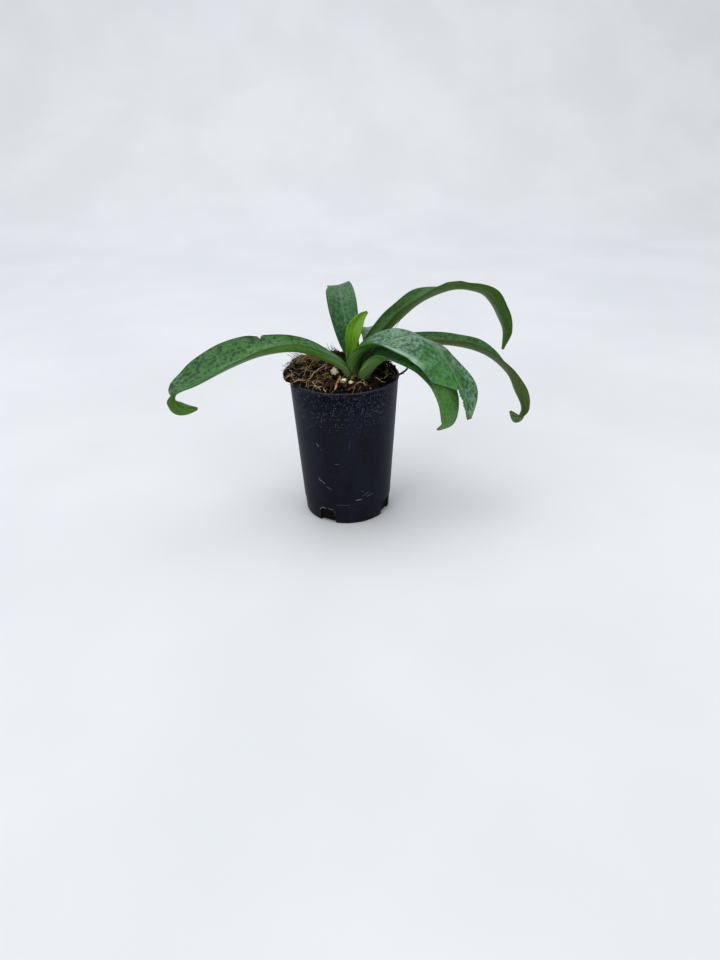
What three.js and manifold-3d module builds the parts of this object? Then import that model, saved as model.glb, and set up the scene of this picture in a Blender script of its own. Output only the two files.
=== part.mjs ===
// Potted ledebouria: eight arching leaves on one buried bulb, in a tapered nursery pot.
// Millimetres, +Z up. The origin is the centre of the underside of the pot.

import * as THREE from 'three';
import { mergeVertices } from 'three/addons/utils/BufferGeometryUtils.js';
import Module from 'manifold-3d';

const wasm = await Module();
wasm.setup();

// Pot: thin straight-tapered plastic, a bead round the rim, a set-back band at the foot.
const POT_HEIGHT = 94.4;
const POT_TOP_RADIUS = 34.6;
const POT_FOOT_RADIUS = 28.8;
const POT_WALL = 1.0;
const POT_FLOOR = 1.6;
const RIM_BEAD_OUT = 0.4;
const RIM_BEAD_DEEP = 1.6;
const FOOT_BAND_HIGH = 10;
const FOOT_BAND_BACK = 0.35;
const POT_SIDES = 56;
const NOTCH_WIDE = 11;
const NOTCH_INNER_RADIUS = 25.5;
const NOTCHES = [
  { angle: -117, high: 11 },
  { angle: -27, high: 9.5 },
  { angle: 63, high: 10 },
  { angle: 153, high: 10 },
];

// Clear space kept between pieces that touch.
const GAP = 0.35;

// Soil: a plug inside the pot and a heap that spills over the rim at the left and back.
const SOIL_LEVEL = 95.2;
const SOIL_TILT = 0.059;
const HEAPS = [
  { x: -16, y: 7, high: 4.5, spread: 11 },
  { x: 30, y: 8, high: 1.6, spread: 8 },
];
const SPILL_X = -4.5;
const SPILL_Y = 2.5;
const SPILL_RADIUS = 34.2;
const SOIL_CEILING = 112;
const SOIL_RINGS = 13;
const SOIL_SIDES = 36;
const LUMP_COUNT = 9;
const LUMP_HIGH = 0.42;
const CHIP_COUNT = 46;

// Bulb: buried under the crown of leaves, its neck just below the surface.
const CROWN_X = 10.5;
const CROWN_Y = -1;
const NECK_TOP = 89.6;
const NECK_RADIUS = 10.5;
const CROWN_CLEARANCE = 15;
const BULB_RADIUS = 14.5;
const BULB_MIDDLE = 70;
const BULB_BOTTOM = 57;

// Leaves are thickest at the foot of the stalk and thin out along the blade.
const LEAF_FOOT_Z = 90;
const STALK_THICK = 2.4;
const BLADE_THICK = 1.5;
const MARGIN_THICK = 0.8;
const LEAF_COLUMNS = 6;
const ROWS_PER_STATION = 3;

const COLOURS = {
  pot: '#191b28',
  soil: '#2b211a',
  bulb: '#b9a57a',
  roots: '#d8cdb0',
  leafUpper: '#4b7d5f',
  leafFront: '#6d937f',
  leafYoung: '#7fb23a',
  bark: '#5a4630',
  strip: '#a5835c',
  strand: '#a98a66',
  strandDark: '#5b4632',
  perlite: '#e4dfcf',
  twig: '#4a3727',
};

const rad = THREE.MathUtils.degToRad;

// A repeatable random draw, so that every build is the same.
function seeded(seed) {
  let state = seed;
  return () => {
    state = (state + 0x6d2b79f5) | 0;
    let t = Math.imul(state ^ (state >>> 15), 1 | state);
    t = (t + Math.imul(t ^ (t >>> 7), 61 | t)) ^ t;
    return ((t ^ (t >>> 14)) >>> 0) / 4294967296;
  };
}

// Closed solid from a geometry whose faces may point either way.
function toSolid(geometry) {
  const bare = geometry.clone();
  bare.deleteAttribute('normal');
  bare.deleteAttribute('uv');
  const merged = mergeVertices(bare, 1e-4);
  const positions = merged.attributes.position.array;
  const corners = [];
  const a = new THREE.Vector3();
  const b = new THREE.Vector3();
  const c = new THREE.Vector3();
  let volume = 0;
  for (let i = 0; i < merged.index.count; i += 3) {
    const [p, q, r] = [0, 1, 2].map((k) => merged.index.getX(i + k));
    if (p === q || q === r || r === p) continue;
    corners.push(p, q, r);
    a.fromArray(positions, p * 3);
    b.fromArray(positions, q * 3);
    c.fromArray(positions, r * 3);
    volume += a.dot(b.cross(c));
  }
  if (volume < 0) {
    for (let i = 0; i < corners.length; i += 3) {
      [corners[i], corners[i + 1]] = [corners[i + 1], corners[i]];
    }
  }
  const mesh = new wasm.Mesh({
    numProp: 3,
    vertProperties: new Float32Array(positions),
    triVerts: new Uint32Array(corners),
  });
  return new wasm.Manifold(mesh);
}

function toGeometry(solid) {
  const mesh = solid.getMesh();
  const geometry = new THREE.BufferGeometry();
  geometry.setAttribute('position', new THREE.BufferAttribute(mesh.vertProperties, 3));
  geometry.setIndex(new THREE.BufferAttribute(mesh.triVerts, 1));
  geometry.computeVertexNormals();
  return geometry;
}

// The largest body of a solid, without the loose scraps that a cut can leave.
function largestBody(solid) {
  const bodies = solid.decompose();
  return bodies.reduce((best, body) => (body.volume() > best.volume() ? body : best));
}

// Turned shape from [radius, height] pairs, about the vertical axis.
function turned(profile, sides) {
  const points = profile.map(([radius, height]) => new THREE.Vector2(radius, height));
  const geometry = new THREE.LatheGeometry(points, sides);
  geometry.rotateX(Math.PI / 2);
  return geometry;
}

// Round strand along a path of points; it narrows from start to end.
function strand(points, radius, taper, steps, sides = 6) {
  const path = new THREE.CatmullRomCurve3(points.map((p) => new THREE.Vector3(...p)));
  const outline = new THREE.Shape();
  for (let i = 0; i < sides; i++) {
    const turn = (i / sides) * 2 * Math.PI;
    const [x, y] = [radius * Math.cos(turn), radius * Math.sin(turn)];
    if (i === 0) outline.moveTo(x, y);
    else outline.lineTo(x, y);
  }
  outline.closePath();
  const geometry = new THREE.ExtrudeGeometry(outline, { steps, extrudePath: path, bevelEnabled: false });
  const position = geometry.attributes.position;
  const vertex = new THREE.Vector3();
  const centre = new THREE.Vector3();
  const samples = path.getSpacedPoints(steps);
  for (let i = 0; i < position.count; i++) {
    vertex.fromBufferAttribute(position, i);
    let nearest = 0;
    samples.forEach((sample, k) => {
      if (sample.distanceTo(vertex) < samples[nearest].distanceTo(vertex)) nearest = k;
    });
    centre.copy(samples[nearest]);
    vertex.sub(centre).multiplyScalar(1 - taper * (nearest / steps)).add(centre);
    position.setXYZ(i, vertex.x, vertex.y, vertex.z);
  }
  return geometry;
}

function potOuterRadius(height) {
  return POT_FOOT_RADIUS + ((POT_TOP_RADIUS - POT_FOOT_RADIUS) * height) / POT_HEIGHT;
}

function potShell() {
  const beadBottom = POT_HEIGHT - RIM_BEAD_DEEP;
  const inner = (height) => potOuterRadius(height) - POT_WALL;
  return toSolid(
    turned(
      [
        [0, 0],
        [POT_FOOT_RADIUS - FOOT_BAND_BACK - 0.7, 0],
        [POT_FOOT_RADIUS - FOOT_BAND_BACK, 0.7],
        [potOuterRadius(FOOT_BAND_HIGH) - FOOT_BAND_BACK, FOOT_BAND_HIGH],
        [potOuterRadius(FOOT_BAND_HIGH), FOOT_BAND_HIGH + 0.5],
        [potOuterRadius(beadBottom), beadBottom],
        [POT_TOP_RADIUS + RIM_BEAD_OUT, beadBottom + 0.5],
        [POT_TOP_RADIUS + RIM_BEAD_OUT, POT_HEIGHT - 0.4],
        [POT_TOP_RADIUS, POT_HEIGHT],
        [inner(POT_HEIGHT) + 0.4, POT_HEIGHT],
        [inner(POT_HEIGHT), POT_HEIGHT - 0.5],
        [inner(POT_FLOOR), POT_FLOOR],
        [0, POT_FLOOR],
      ],
      POT_SIDES,
    ),
  );
}

// One drainage notch: an upright tongue with rounded top corners, pushed through the foot.
function notchCutter({ angle, high }) {
  const half = NOTCH_WIDE / 2;
  const corner = 2.5;
  const outline = new THREE.Shape();
  outline.moveTo(-half, -1);
  outline.lineTo(half, -1);
  outline.lineTo(half, high - corner);
  outline.quadraticCurveTo(half, high, half - corner, high);
  outline.lineTo(-half + corner, high);
  outline.quadraticCurveTo(-half, high, -half, high - corner);
  outline.closePath();
  const geometry = new THREE.ExtrudeGeometry(outline, { depth: 8, bevelEnabled: false, curveSegments: 3 });
  geometry.rotateX(Math.PI / 2);
  geometry.translate(0, -NOTCH_INNER_RADIUS, 0);
  geometry.rotateZ(rad(angle + 90));
  return toSolid(geometry);
}

function potSolid() {
  return NOTCHES.reduce((pot, notch) => pot.subtract(notchCutter(notch)), potShell());
}

// Small waves in many directions, so that the soil is lumpy everywhere.
const LUMPS = (() => {
  const draw = seeded(41);
  return Array.from({ length: LUMP_COUNT }, () => {
    const direction = draw() * 2 * Math.PI;
    const length = 4.5 + 9 * draw();
    return {
      x: (Math.cos(direction) * 2 * Math.PI) / length,
      y: (Math.sin(direction) * 2 * Math.PI) / length,
      shift: draw() * 2 * Math.PI,
    };
  });
})();

function smoothSoilHeight(x, y) {
  let height = SOIL_LEVEL + SOIL_TILT * y;
  for (const heap of HEAPS) {
    const away = ((x - heap.x) ** 2 + (y - heap.y) ** 2) / (2 * heap.spread ** 2);
    height += heap.high * Math.exp(-away);
  }
  return height;
}

function soilHeight(x, y) {
  let height = smoothSoilHeight(x, y);
  for (const lump of LUMPS) height += LUMP_HIGH * Math.sin(lump.x * x + lump.y * y + lump.shift);
  return height;
}

// Block of soil with the lumpy surface on top, wider than the pot.
function soilBlock() {
  const width = POT_TOP_RADIUS + 6;
  const positions = [0, 0, soilHeight(0, 0), 0, 0, 0];
  const index = [];
  for (let ring = 1; ring <= SOIL_RINGS; ring++) {
    for (let k = 0; k < SOIL_SIDES; k++) {
      const turn = ((k + (ring % 2) / 2) / SOIL_SIDES) * 2 * Math.PI;
      const radius = (width * ring) / SOIL_RINGS;
      const [x, y] = [radius * Math.cos(turn), radius * Math.sin(turn)];
      positions.push(x, y, soilHeight(x, y));
    }
  }
  const lastRing = 2 + (SOIL_RINGS - 1) * SOIL_SIDES;
  const foot = lastRing + SOIL_SIDES;
  for (let k = 0; k < SOIL_SIDES; k++) {
    positions.push(positions[(lastRing + k) * 3], positions[(lastRing + k) * 3 + 1], 0);
  }
  for (let k = 0; k < SOIL_SIDES; k++) {
    const next = (k + 1) % SOIL_SIDES;
    index.push(0, 2 + k, 2 + next);
    for (let ring = 0; ring < SOIL_RINGS - 1; ring++) {
      const inner = 2 + ring * SOIL_SIDES;
      const outer = inner + SOIL_SIDES;
      const lead = (ring + 1) % 2;
      if (lead === 0) {
        index.push(inner + k, outer + k, inner + next);
        index.push(outer + k, outer + next, inner + next);
      } else {
        index.push(inner + k, outer + k, outer + next);
        index.push(inner + k, outer + next, inner + next);
      }
    }
    index.push(lastRing + k, foot + k, foot + next);
    index.push(lastRing + k, foot + next, lastRing + next);
    index.push(1, foot + next, foot + k);
  }
  const geometry = new THREE.BufferGeometry();
  geometry.setAttribute('position', new THREE.BufferAttribute(new Float32Array(positions), 3));
  geometry.setIndex(index);
  return toSolid(geometry);
}

// Where soil may be: inside the pot, and above the rim at the left and back.
function soilRoom() {
  const inside = (height) => potOuterRadius(height) - POT_WALL - GAP;
  const plug = toSolid(
    turned(
      [
        [0, POT_FLOOR + GAP],
        [inside(POT_FLOOR + GAP), POT_FLOOR + GAP],
        [inside(POT_HEIGHT), POT_HEIGHT],
        [inside(POT_HEIGHT), SOIL_CEILING],
        [0, SOIL_CEILING],
      ],
      POT_SIDES,
    ),
  );
  const spill = turned(
    [
      [0, POT_HEIGHT + GAP],
      [SPILL_RADIUS, POT_HEIGHT + GAP],
      [SPILL_RADIUS + 0.6, SOIL_CEILING],
      [0, SOIL_CEILING],
    ],
    36,
  );
  spill.translate(SPILL_X, SPILL_Y, 0);
  return plug.add(toSolid(spill));
}

// Bark chips of the potting mix, half sunk in the surface at random.
function soilChips() {
  const draw = seeded(7);
  const chips = [];
  while (chips.length < CHIP_COUNT) {
    const turn = draw() * 2 * Math.PI;
    const radius = 36 * Math.sqrt(draw());
    const [x, y] = [SPILL_X / 2 + radius * Math.cos(turn), radius * Math.sin(turn)];
    const [long, wide, deep] = [3 + 5 * draw(), 1.2 + 2.2 * draw(), 0.9 + 1.1 * draw()];
    const geometry = new THREE.BoxGeometry(long, wide, deep);
    geometry.rotateX(rad(60 * (draw() - 0.5)));
    geometry.rotateY(rad(50 * (draw() - 0.5)));
    geometry.rotateZ(draw() * Math.PI);
    geometry.translate(x, y, soilHeight(x, y) + 0.25);
    if (Math.hypot(x - CROWN_X, y - CROWN_Y) > NECK_RADIUS + 4) chips.push(toSolid(geometry));
  }
  return chips;
}

function bulbProfile(grow) {
  return [
    [0, BULB_BOTTOM - grow],
    [BULB_RADIUS * 0.45 + grow, BULB_BOTTOM - grow],
    [BULB_RADIUS * 0.85 + grow, BULB_BOTTOM + 5],
    [BULB_RADIUS + grow, BULB_MIDDLE],
    [BULB_RADIUS * 0.9 + grow, BULB_MIDDLE + 8],
    [NECK_RADIUS + grow, BULB_MIDDLE + 15],
    [NECK_RADIUS + grow, NECK_TOP + grow],
    [0, NECK_TOP + grow],
  ];
}

function bulbSolid(grow = 0) {
  const geometry = turned(bulbProfile(grow), 20);
  geometry.translate(CROWN_X, CROWN_Y, 0);
  return toSolid(geometry);
}

// Flat clearance in the soil under the feet of the leaves.
function crownClearance() {
  const [low, high] = [NECK_TOP - 0.5, LEAF_FOOT_Z + 1.8];
  const geometry = turned([[0, low], [CROWN_CLEARANCE, low], [CROWN_CLEARANCE, high], [0, high]], 20);
  geometry.translate(CROWN_X, CROWN_Y, 0);
  return toSolid(geometry);
}

// Fleshy roots that spread from a small plate under the bulb.
function rootsSolid(grow = 0) {
  const top = BULB_BOTTOM - GAP;
  const plate = turned(
    [
      [0, top - 2.5 - grow],
      [5.5 + grow, top - 2.5 - grow],
      [5.5 + grow, top + grow],
      [0, top + grow],
    ],
    12,
  );
  plate.translate(CROWN_X, CROWN_Y, 0);
  let roots = toSolid(plate);
  const draw = seeded(19);
  for (let i = 0; i < 5; i++) {
    const turn = rad(20 + 72 * i + 30 * draw());
    const spread = 9 + 5 * draw();
    const drop = 34 + 10 * draw();
    const at = (share, low) => [
      CROWN_X * (1 - share * 0.6) + Math.cos(turn) * spread * share + Math.cos(turn) * 3,
      CROWN_Y * (1 - share * 0.6) + Math.sin(turn) * spread * share + Math.sin(turn) * 3,
      top - 1.2 - low * drop,
    ];
    const path = [at(0, 0), at(0.5, 0.25), at(0.85, 0.6), at(1, 1 + grow / drop)];
    roots = roots.add(toSolid(strand(path, 1.5 + grow, 0.35, 5)));
  }
  return roots;
}

// Leaves, each a row of stations from its foot to its tip.
// A station is [reach, drift, height, half width, roll, fold, curl]: reach runs along the
// heading, drift to its left, height up from the foot, all in mm. Roll turns the blade about
// its own line, fold lifts each half from the middle, curl bends each half further, in degrees.
const LEAVES = {
  leaf_left: {
    foot: [2.3, -6.2],
    heading: 187,
    colour: COLOURS.leafUpper,
    stations: [
      [-1, 0, 0.6, 2.6, 0, 0, 70],
      [2, 0, 10, 4.6, 0, 0, 80],
      [14, 0, 18, 7.5, -2, 0, 80],
      [31, 0, 24.5, 9.5, -2, 0, 80],
      [51, 0, 23.5, 12, -12, 10, 55],
      [69, 0, 18.5, 14, -25, 20, 35],
      [87, 0, 10.5, 12.5, -28, 25, 20],
      [101, 0, 4.5, 8, -28, 25, 20],
      [106.3, 0, 0.8, 6, -18, 25, 20],
      [107.7, 0, -3.7, 5.2, 12, 20, 20],
      [105.5, 0, -8, 5, 40, 15, 20],
      [100.5, 0, -10, 3.2, 55, 10, 20],
      [94, 0, -10, 0.8, 60, 0, 10],
    ],
    // A nick in the far margin.
    trim: (at, side) => (side < 0 && Math.abs(at - 4) < 0.05 ? 0.86 : 1),
  },
  leaf_back: {
    foot: [6.5, 10.5],
    heading: 103,
    colour: COLOURS.leafUpper,
    stations: [
      [0, 0, 0, 2.8, 0, 0, 70],
      [1, 0, 10, 4, 0, 0, 60],
      [5, 2.5, 22, 7, 0, 0, 40],
      [14, 3, 36, 9.2, -2, 3, 20],
      [25, 2.5, 46.5, 9.3, -5, 3, 10],
      [38, 0.8, 49.3, 7.2, -8, 4, 8],
      [50, 0, 43, 5.5, -5, 3, 8],
      [58, -1, 33, 0.8, 0, 0, 8],
    ],
  },
  leaf_young: {
    foot: [4.2, 6],
    heading: 90,
    colour: COLOURS.leafYoung,
    stations: [
      [0, 0, 0, 2.2, 0, 0, 60],
      [0, 0, 10, 2.6, 0, 0, 60],
      [0.5, -1, 21, 4.4, 0, 25, 40],
      [2, -2.6, 30, 5.8, 0, 25, 30],
      [4, -6.3, 36.5, 3.5, 20, 20, 20],
      [6, -11.3, 40.3, 0.8, 30, 0, 10],
    ],
  },
  leaf_arching: {
    foot: [13, 4.3],
    heading: 15,
    colour: COLOURS.leafUpper,
    stations: [
      [-2, 0, 0, 2.8, 0, 0, 80],
      [-0.5, 0, 12, 5, 0, 0, 80],
      [7, 1, 22, 7.4, 5, 5, 75],
      [21, 1.5, 34, 9.6, 5, 25, 50],
      [36.5, 1, 45.5, 8.8, 0, 22, 40],
      [54.5, 1, 51.5, 7.3, -24, 10, 30],
      [68.5, 1, 51.5, 5.5, -30, 5, 20],
      [82.5, 1, 46.5, 8, -25, 5, 20],
      [92, 1, 35, 7, -20, 5, 20],
      [98, 1, 21, 4.8, -15, 5, 20],
      [97, 1, 8.5, 0.8, -10, 0, 10],
    ],
  },
  leaf_front: {
    foot: [7.5, -4],
    heading: -24,
    colour: COLOURS.leafFront,
    stations: [
      [0, 0, 0, 2.8, 0, 0, 80],
      [0, 0, 12, 6.8, 0, 0, 80],
      [6.5, 0, 22, 9.2, 5, 2, 62],
      [20.5, 0, 28.5, 11.2, 10, 4, 30],
      [38.5, 0, 33.5, 14, 18, -36, 5],
      [52.5, 0, 27.5, 15, 20, -32, 5],
      [62.5, 0, 15, 14.5, 25, -25, 5],
      [70, 0.5, 0.5, 13, 35, -15, 5],
      [73.5, 0, -14, 2.5, 45, -10, 5],
    ],
    // The end of the near half is torn off.
    trim: (at, side) => (side > 0 ? 1 : THREE.MathUtils.clamp(1 - (at - 5.9) * 1.05, 0.14, 1)),
  },
  leaf_right: {
    foot: [18.5, -0.2],
    heading: 6,
    colour: COLOURS.leafUpper,
    stations: [
      [-2, 0, 0, 2.8, 0, 0, 80],
      [0, 0, 12, 3.4, 0, 0, 80],
      [8.5, -0.9, 22.5, 4.4, 0, 0, 80],
      [30.5, -1.5, 24, 7.5, 5, 5, 60],
      [54.5, -2.3, 21, 8, 5, 10, 50],
      [72.5, -2.3, 14, 8, 6, 10, 40],
      [87, -2.3, 1.5, 7, -6, 10, 30],
      [95.5, -2.3, -13, 6.8, -25, 10, 30],
      [100, -2.3, -25, 5.5, 0, 10, 30],
      [97, -2.3, -32, 4, 60, 10, 20],
      [91.5, -2.3, -27, 0.8, 80, 0, 10],
    ],
  },
  leaf_rear: {
    foot: [16, 11],
    heading: 92,
    colour: COLOURS.leafUpper,
    stations: [
      [0, 0, 0, 2.5, 0, 0, 70],
      [0.5, -0.5, 12, 3.2, 0, 0, 60],
      [4, -0.5, 22, 4, 0, 0, 40],
      [13, 0, 26.5, 4.8, 0, 0, 20],
      [24, 0.5, 23, 4.4, 0, 0, 20],
      [32, 0, 13, 0.8, 0, 0, 10],
    ],
  },
  leaf_under: {
    foot: [12.5, -9],
    heading: -26,
    colour: COLOURS.leafUpper,
    stations: [
      [0.5, 0, 1.2, 2.8, 0, 0, 80],
      [3.5, -0.4, 9, 7.6, 0, 0, 75],
      [13, -0.8, 19, 9.6, 5, 5, 60],
      [25, 0.8, 22.5, 9, 15, -8, 20],
      [38.5, 2.5, 20, 9, 18, -25, 5],
      [50, 2.5, 11, 9, 25, -22, 5],
      [56, 1.5, -2, 8, 30, -12, 5],
      [56, 1, -16, 5.5, 35, -8, 5],
      [49.5, 0, -22, 0.8, 40, 0, 5],
    ],
  },
};

// Smooth curve through the stations, and its slope, at a place counted in stations.
function stationAt(stations, at) {
  const last = stations.length - 1;
  const start = Math.min(Math.floor(at), last - 1);
  const f = at - start;
  const past = (row, inner) => row.map((value, k) => 2 * value - inner[k]);
  const before = start > 0 ? stations[start - 1] : past(stations[0], stations[1]);
  const after = start + 2 <= last ? stations[start + 2] : past(stations[last], stations[last - 1]);
  const value = [];
  const slope = [];
  for (let k = 0; k < stations[0].length; k++) {
    const [a, b, c, d] = [before[k], stations[start][k], stations[start + 1][k], after[k]];
    const [q1, q2, q3] = [c - a, 2 * a - 5 * b + 4 * c - d, 3 * b - a - 3 * c + d];
    value.push(0.5 * (2 * b + q1 * f + q2 * f * f + q3 * f * f * f));
    slope.push(0.5 * (q1 + 2 * q2 * f + 3 * q3 * f * f));
  }
  return { value, slope };
}

// Point of a leaf's upper face; side runs from -1 at one margin to 1 at the other.
function leafPoint(leaf, at, side, grow) {
  const { value, slope } = stationAt(leaf.stations, at);
  const [reach, drift, height, half, roll, fold, curl] = value;
  const turn = rad(leaf.heading);
  const ahead = new THREE.Vector3(Math.cos(turn), Math.sin(turn), 0);
  const left = new THREE.Vector3(-Math.sin(turn), Math.cos(turn), 0);
  const along = ahead.clone().multiplyScalar(slope[0]).addScaledVector(left, slope[1]);
  along.z = slope[2];
  along.normalize();
  const across = left.clone().addScaledVector(along, -left.dot(along)).normalize();
  const face = along.clone().cross(across);
  const [cos, sin] = [Math.cos(rad(roll)), Math.sin(rad(roll))];
  const rolledAcross = across.clone().multiplyScalar(cos).addScaledVector(face, sin);
  const rolledFace = face.clone().multiplyScalar(cos).addScaledVector(across, -sin);
  const [lift, bend] = [rad(fold), Math.max(rad(curl), 0.02)];
  const width = Math.max(half, 0.5) * (leaf.trim ? leaf.trim(at, side) : 1) + grow;
  const away = Math.abs(side);
  const run = (width * (Math.sin(lift + bend * away) - Math.sin(lift))) / bend;
  const rise = (width * (Math.cos(lift) - Math.cos(lift + bend * away))) / bend;
  return new THREE.Vector3(leaf.foot[0], leaf.foot[1], LEAF_FOOT_Z)
    .addScaledVector(ahead, reach)
    .addScaledVector(left, drift)
    .add(new THREE.Vector3(0, 0, height))
    .addScaledVector(rolledAcross, Math.sign(side) * run)
    .addScaledVector(rolledFace, rise);
}

function leafThickness(share, side) {
  const middle = BLADE_THICK + (STALK_THICK - BLADE_THICK) * (1 - share) ** 3;
  const margin = MARGIN_THICK + (middle - MARGIN_THICK) * 0.25 * (1 - share);
  return margin + (middle - margin) * (1 - side * side);
}

// Closed leaf: the same grid of triangles on both faces, joined round the margin.
function leafSolid(leaf, grow = 0) {
  const rows = (leaf.stations.length - 1) * ROWS_PER_STATION;
  const columns = LEAF_COLUMNS;
  const upper = [];
  const lower = [];
  const step = 0.02;
  for (let i = 0; i <= rows; i++) {
    for (let j = 0; j <= columns; j++) {
      const at = i / ROWS_PER_STATION;
      const side = (2 * j) / columns - 1;
      const point = leafPoint(leaf, at, side, grow);
      const [low, high] = [Math.max(side - step, -1), Math.min(side + step, 1)];
      const [back, front] = [Math.max(at - step, 0), Math.min(at + step, rows / ROWS_PER_STATION)];
      const acrossWay = leafPoint(leaf, at, high, grow).sub(leafPoint(leaf, at, low, grow));
      const alongWay = leafPoint(leaf, front, side, grow).sub(leafPoint(leaf, back, side, grow));
      const normal = alongWay.cross(acrossWay).normalize();
      upper.push(point.clone().addScaledVector(normal, grow));
      lower.push(point.addScaledVector(normal, -leafThickness(i / rows, side) - grow));
    }
  }
  const positions = [...upper, ...lower].flatMap((p) => p.toArray());
  const count = upper.length;
  const node = (i, j) => i * (columns + 1) + j;
  const index = [];
  const quad = (a, b, c, d) => index.push(a, b, c, a, c, d);
  for (let i = 0; i < rows; i++) {
    for (let j = 0; j < columns; j++) {
      const [a, b, c, d] = [node(i, j), node(i + 1, j), node(i + 1, j + 1), node(i, j + 1)];
      quad(a, b, c, d);
      quad(count + d, count + c, count + b, count + a);
    }
    quad(node(i, 0), count + node(i, 0), count + node(i + 1, 0), node(i + 1, 0));
    const [e, f] = [node(i, columns), node(i + 1, columns)];
    quad(e, f, count + f, count + e);
  }
  for (let j = 0; j < columns; j++) {
    quad(node(0, j), node(0, j + 1), count + node(0, j + 1), count + node(0, j));
    const [e, f] = [node(rows, j), node(rows, j + 1)];
    quad(e, count + e, count + f, f);
  }
  const geometry = new THREE.BufferGeometry();
  geometry.setAttribute('position', new THREE.BufferAttribute(new Float32Array(positions), 3));
  geometry.setIndex(index);
  return toSolid(geometry);
}

function soilSolid() {
  let soil = soilBlock();
  for (const chip of soilChips()) soil = soil.add(chip);
  soil = soil.intersect(soilRoom());
  soil = soil.subtract(bulbSolid(GAP)).subtract(rootsSolid(GAP)).subtract(crownClearance());
  for (const leaf of Object.values(LEAVES)) soil = soil.subtract(leafSolid(leaf, GAP));
  for (const litter of Object.values(LITTER)) soil = soil.subtract(litterSolid(litter, GAP));
  PERLITE.forEach((granule, i) => {
    soil = soil.subtract(perliteSolid(granule, PERLITE_SEED + i, GAP));
  });
  return largestBody(soil.subtract(barkChunkSolid(GAP)).subtract(twigSolid(GAP)));
}

// Strands and slivers that lie on the soil: each keeps to the surface, a little above it.
const LITTER = {
  root_strand_long: {
    colour: COLOURS.strand,
    radius: 0.6,
    path: [[-9, 8], [-13, 0], [-17, -6], [-22, -14], [-27, -18], [-30.5, -18.5]],
  },
  root_strand_mid: {
    colour: COLOURS.strandDark,
    radius: 0.5,
    path: [[-6, 1], [-12, -3.5], [-16.2, -5.2]],
  },
  root_strand_left: {
    colour: COLOURS.strand,
    radius: 0.5,
    path: [[-33, -8], [-30.5, -13], [-29, -15.5]],
  },
  root_strand_front: {
    colour: COLOURS.strand,
    radius: 0.5,
    path: [[-19, -18], [-16, -23], [-13, -26], [-10, -30]],
  },
  root_strand_red: {
    colour: COLOURS.strandDark,
    radius: 0.6,
    path: [[11, -16.5], [7, -22], [3.5, -28], [2.5, -31.5]],
  },
  bark_strip: {
    colour: COLOURS.strip,
    radius: 0.9,
    path: [[-2, -11], [-3, -18], [-4.2, -25], [-4.8, -31]],
  },
};
const LITTER_LIFT = 0.3;

// A path made longer at both ends by a small amount.
function lengthened(path, extra) {
  const points = path.map((p) => new THREE.Vector3(...p));
  const last = points.length - 1;
  const lead = points[0].clone().sub(points[1]).setLength(extra + 1e-6);
  const trail = points[last].clone().sub(points[last - 1]).setLength(extra + 1e-6);
  points[0].add(lead);
  points[last].add(trail);
  return points.map((p) => p.toArray());
}

function litterSolid({ radius, path }, grow = 0) {
  const lifted = path.map(([x, y]) => [x, y, soilHeight(x, y) + radius + LITTER_LIFT]);
  return toSolid(strand(lengthened(lifted, grow), radius + grow, 0.3, 10));
}

// Perlite granules: rounded lumps with an uneven surface, a third of each sunk in the soil.
const PERLITE = [
  { x: -6, y: -8, radius: 2.1, tall: 1 },
  { x: 0, y: -15.5, radius: 2.2, tall: 0.75 },
  { x: 4.5, y: -17.5, radius: 1.6, tall: 0.75 },
];
const PERLITE_SEED = 100;

function perliteSolid({ x, y, radius, tall }, seed, grow = 0) {
  const draw = seeded(seed);
  const ball = new THREE.IcosahedronGeometry(1, 1).deleteAttribute('normal').deleteAttribute('uv');
  const geometry = mergeVertices(ball);
  const position = geometry.attributes.position;
  for (let i = 0; i < position.count; i++) {
    const reach = radius * (0.82 + 0.25 * draw()) + grow;
    const squash = (radius * tall + grow) / (radius + grow);
    const [px, py, pz] = [position.getX(i), position.getY(i), position.getZ(i)];
    position.setXYZ(i, px * reach, py * reach, pz * reach * squash);
  }
  geometry.translate(x, y, soilHeight(x, y) + radius * tall * 0.35);
  return toSolid(geometry);
}

// Broad flake of bark at the top of the heap.
function barkChunkSolid(grow = 0) {
  const outline = new THREE.Shape();
  outline.moveTo(-9, -3);
  outline.lineTo(-3, -4.5);
  outline.lineTo(6, -3.5);
  outline.lineTo(9, 0.5);
  outline.lineTo(4, 3.5);
  outline.lineTo(-4, 4);
  outline.lineTo(-8, 1.5);
  outline.closePath();
  const geometry = new THREE.ExtrudeGeometry(outline, {
    depth: 1.2,
    bevelThickness: 0.6 + grow,
    bevelSize: 0.7 + grow,
    bevelSegments: 1,
  });
  geometry.rotateX(rad(16));
  geometry.rotateZ(rad(14));
  geometry.translate(-24, 11, smoothSoilHeight(-24, 11) + 1.4);
  return toSolid(geometry);
}

function twigSolid(grow = 0) {
  const path = [[30, -12, 95.5], [34.5, -8.5, 96.4], [38, -4, 96.9], [41, 0, 98]];
  return toSolid(strand(lengthened(path, grow), 0.9 + grow, 0.5, 6));
}

function piece(name, solid, colour, roughness) {
  const material = new THREE.MeshStandardMaterial({ color: colour, roughness, metalness: 0 });
  const mesh = new THREE.Mesh(toGeometry(solid), material);
  mesh.name = name;
  return mesh;
}

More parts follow.
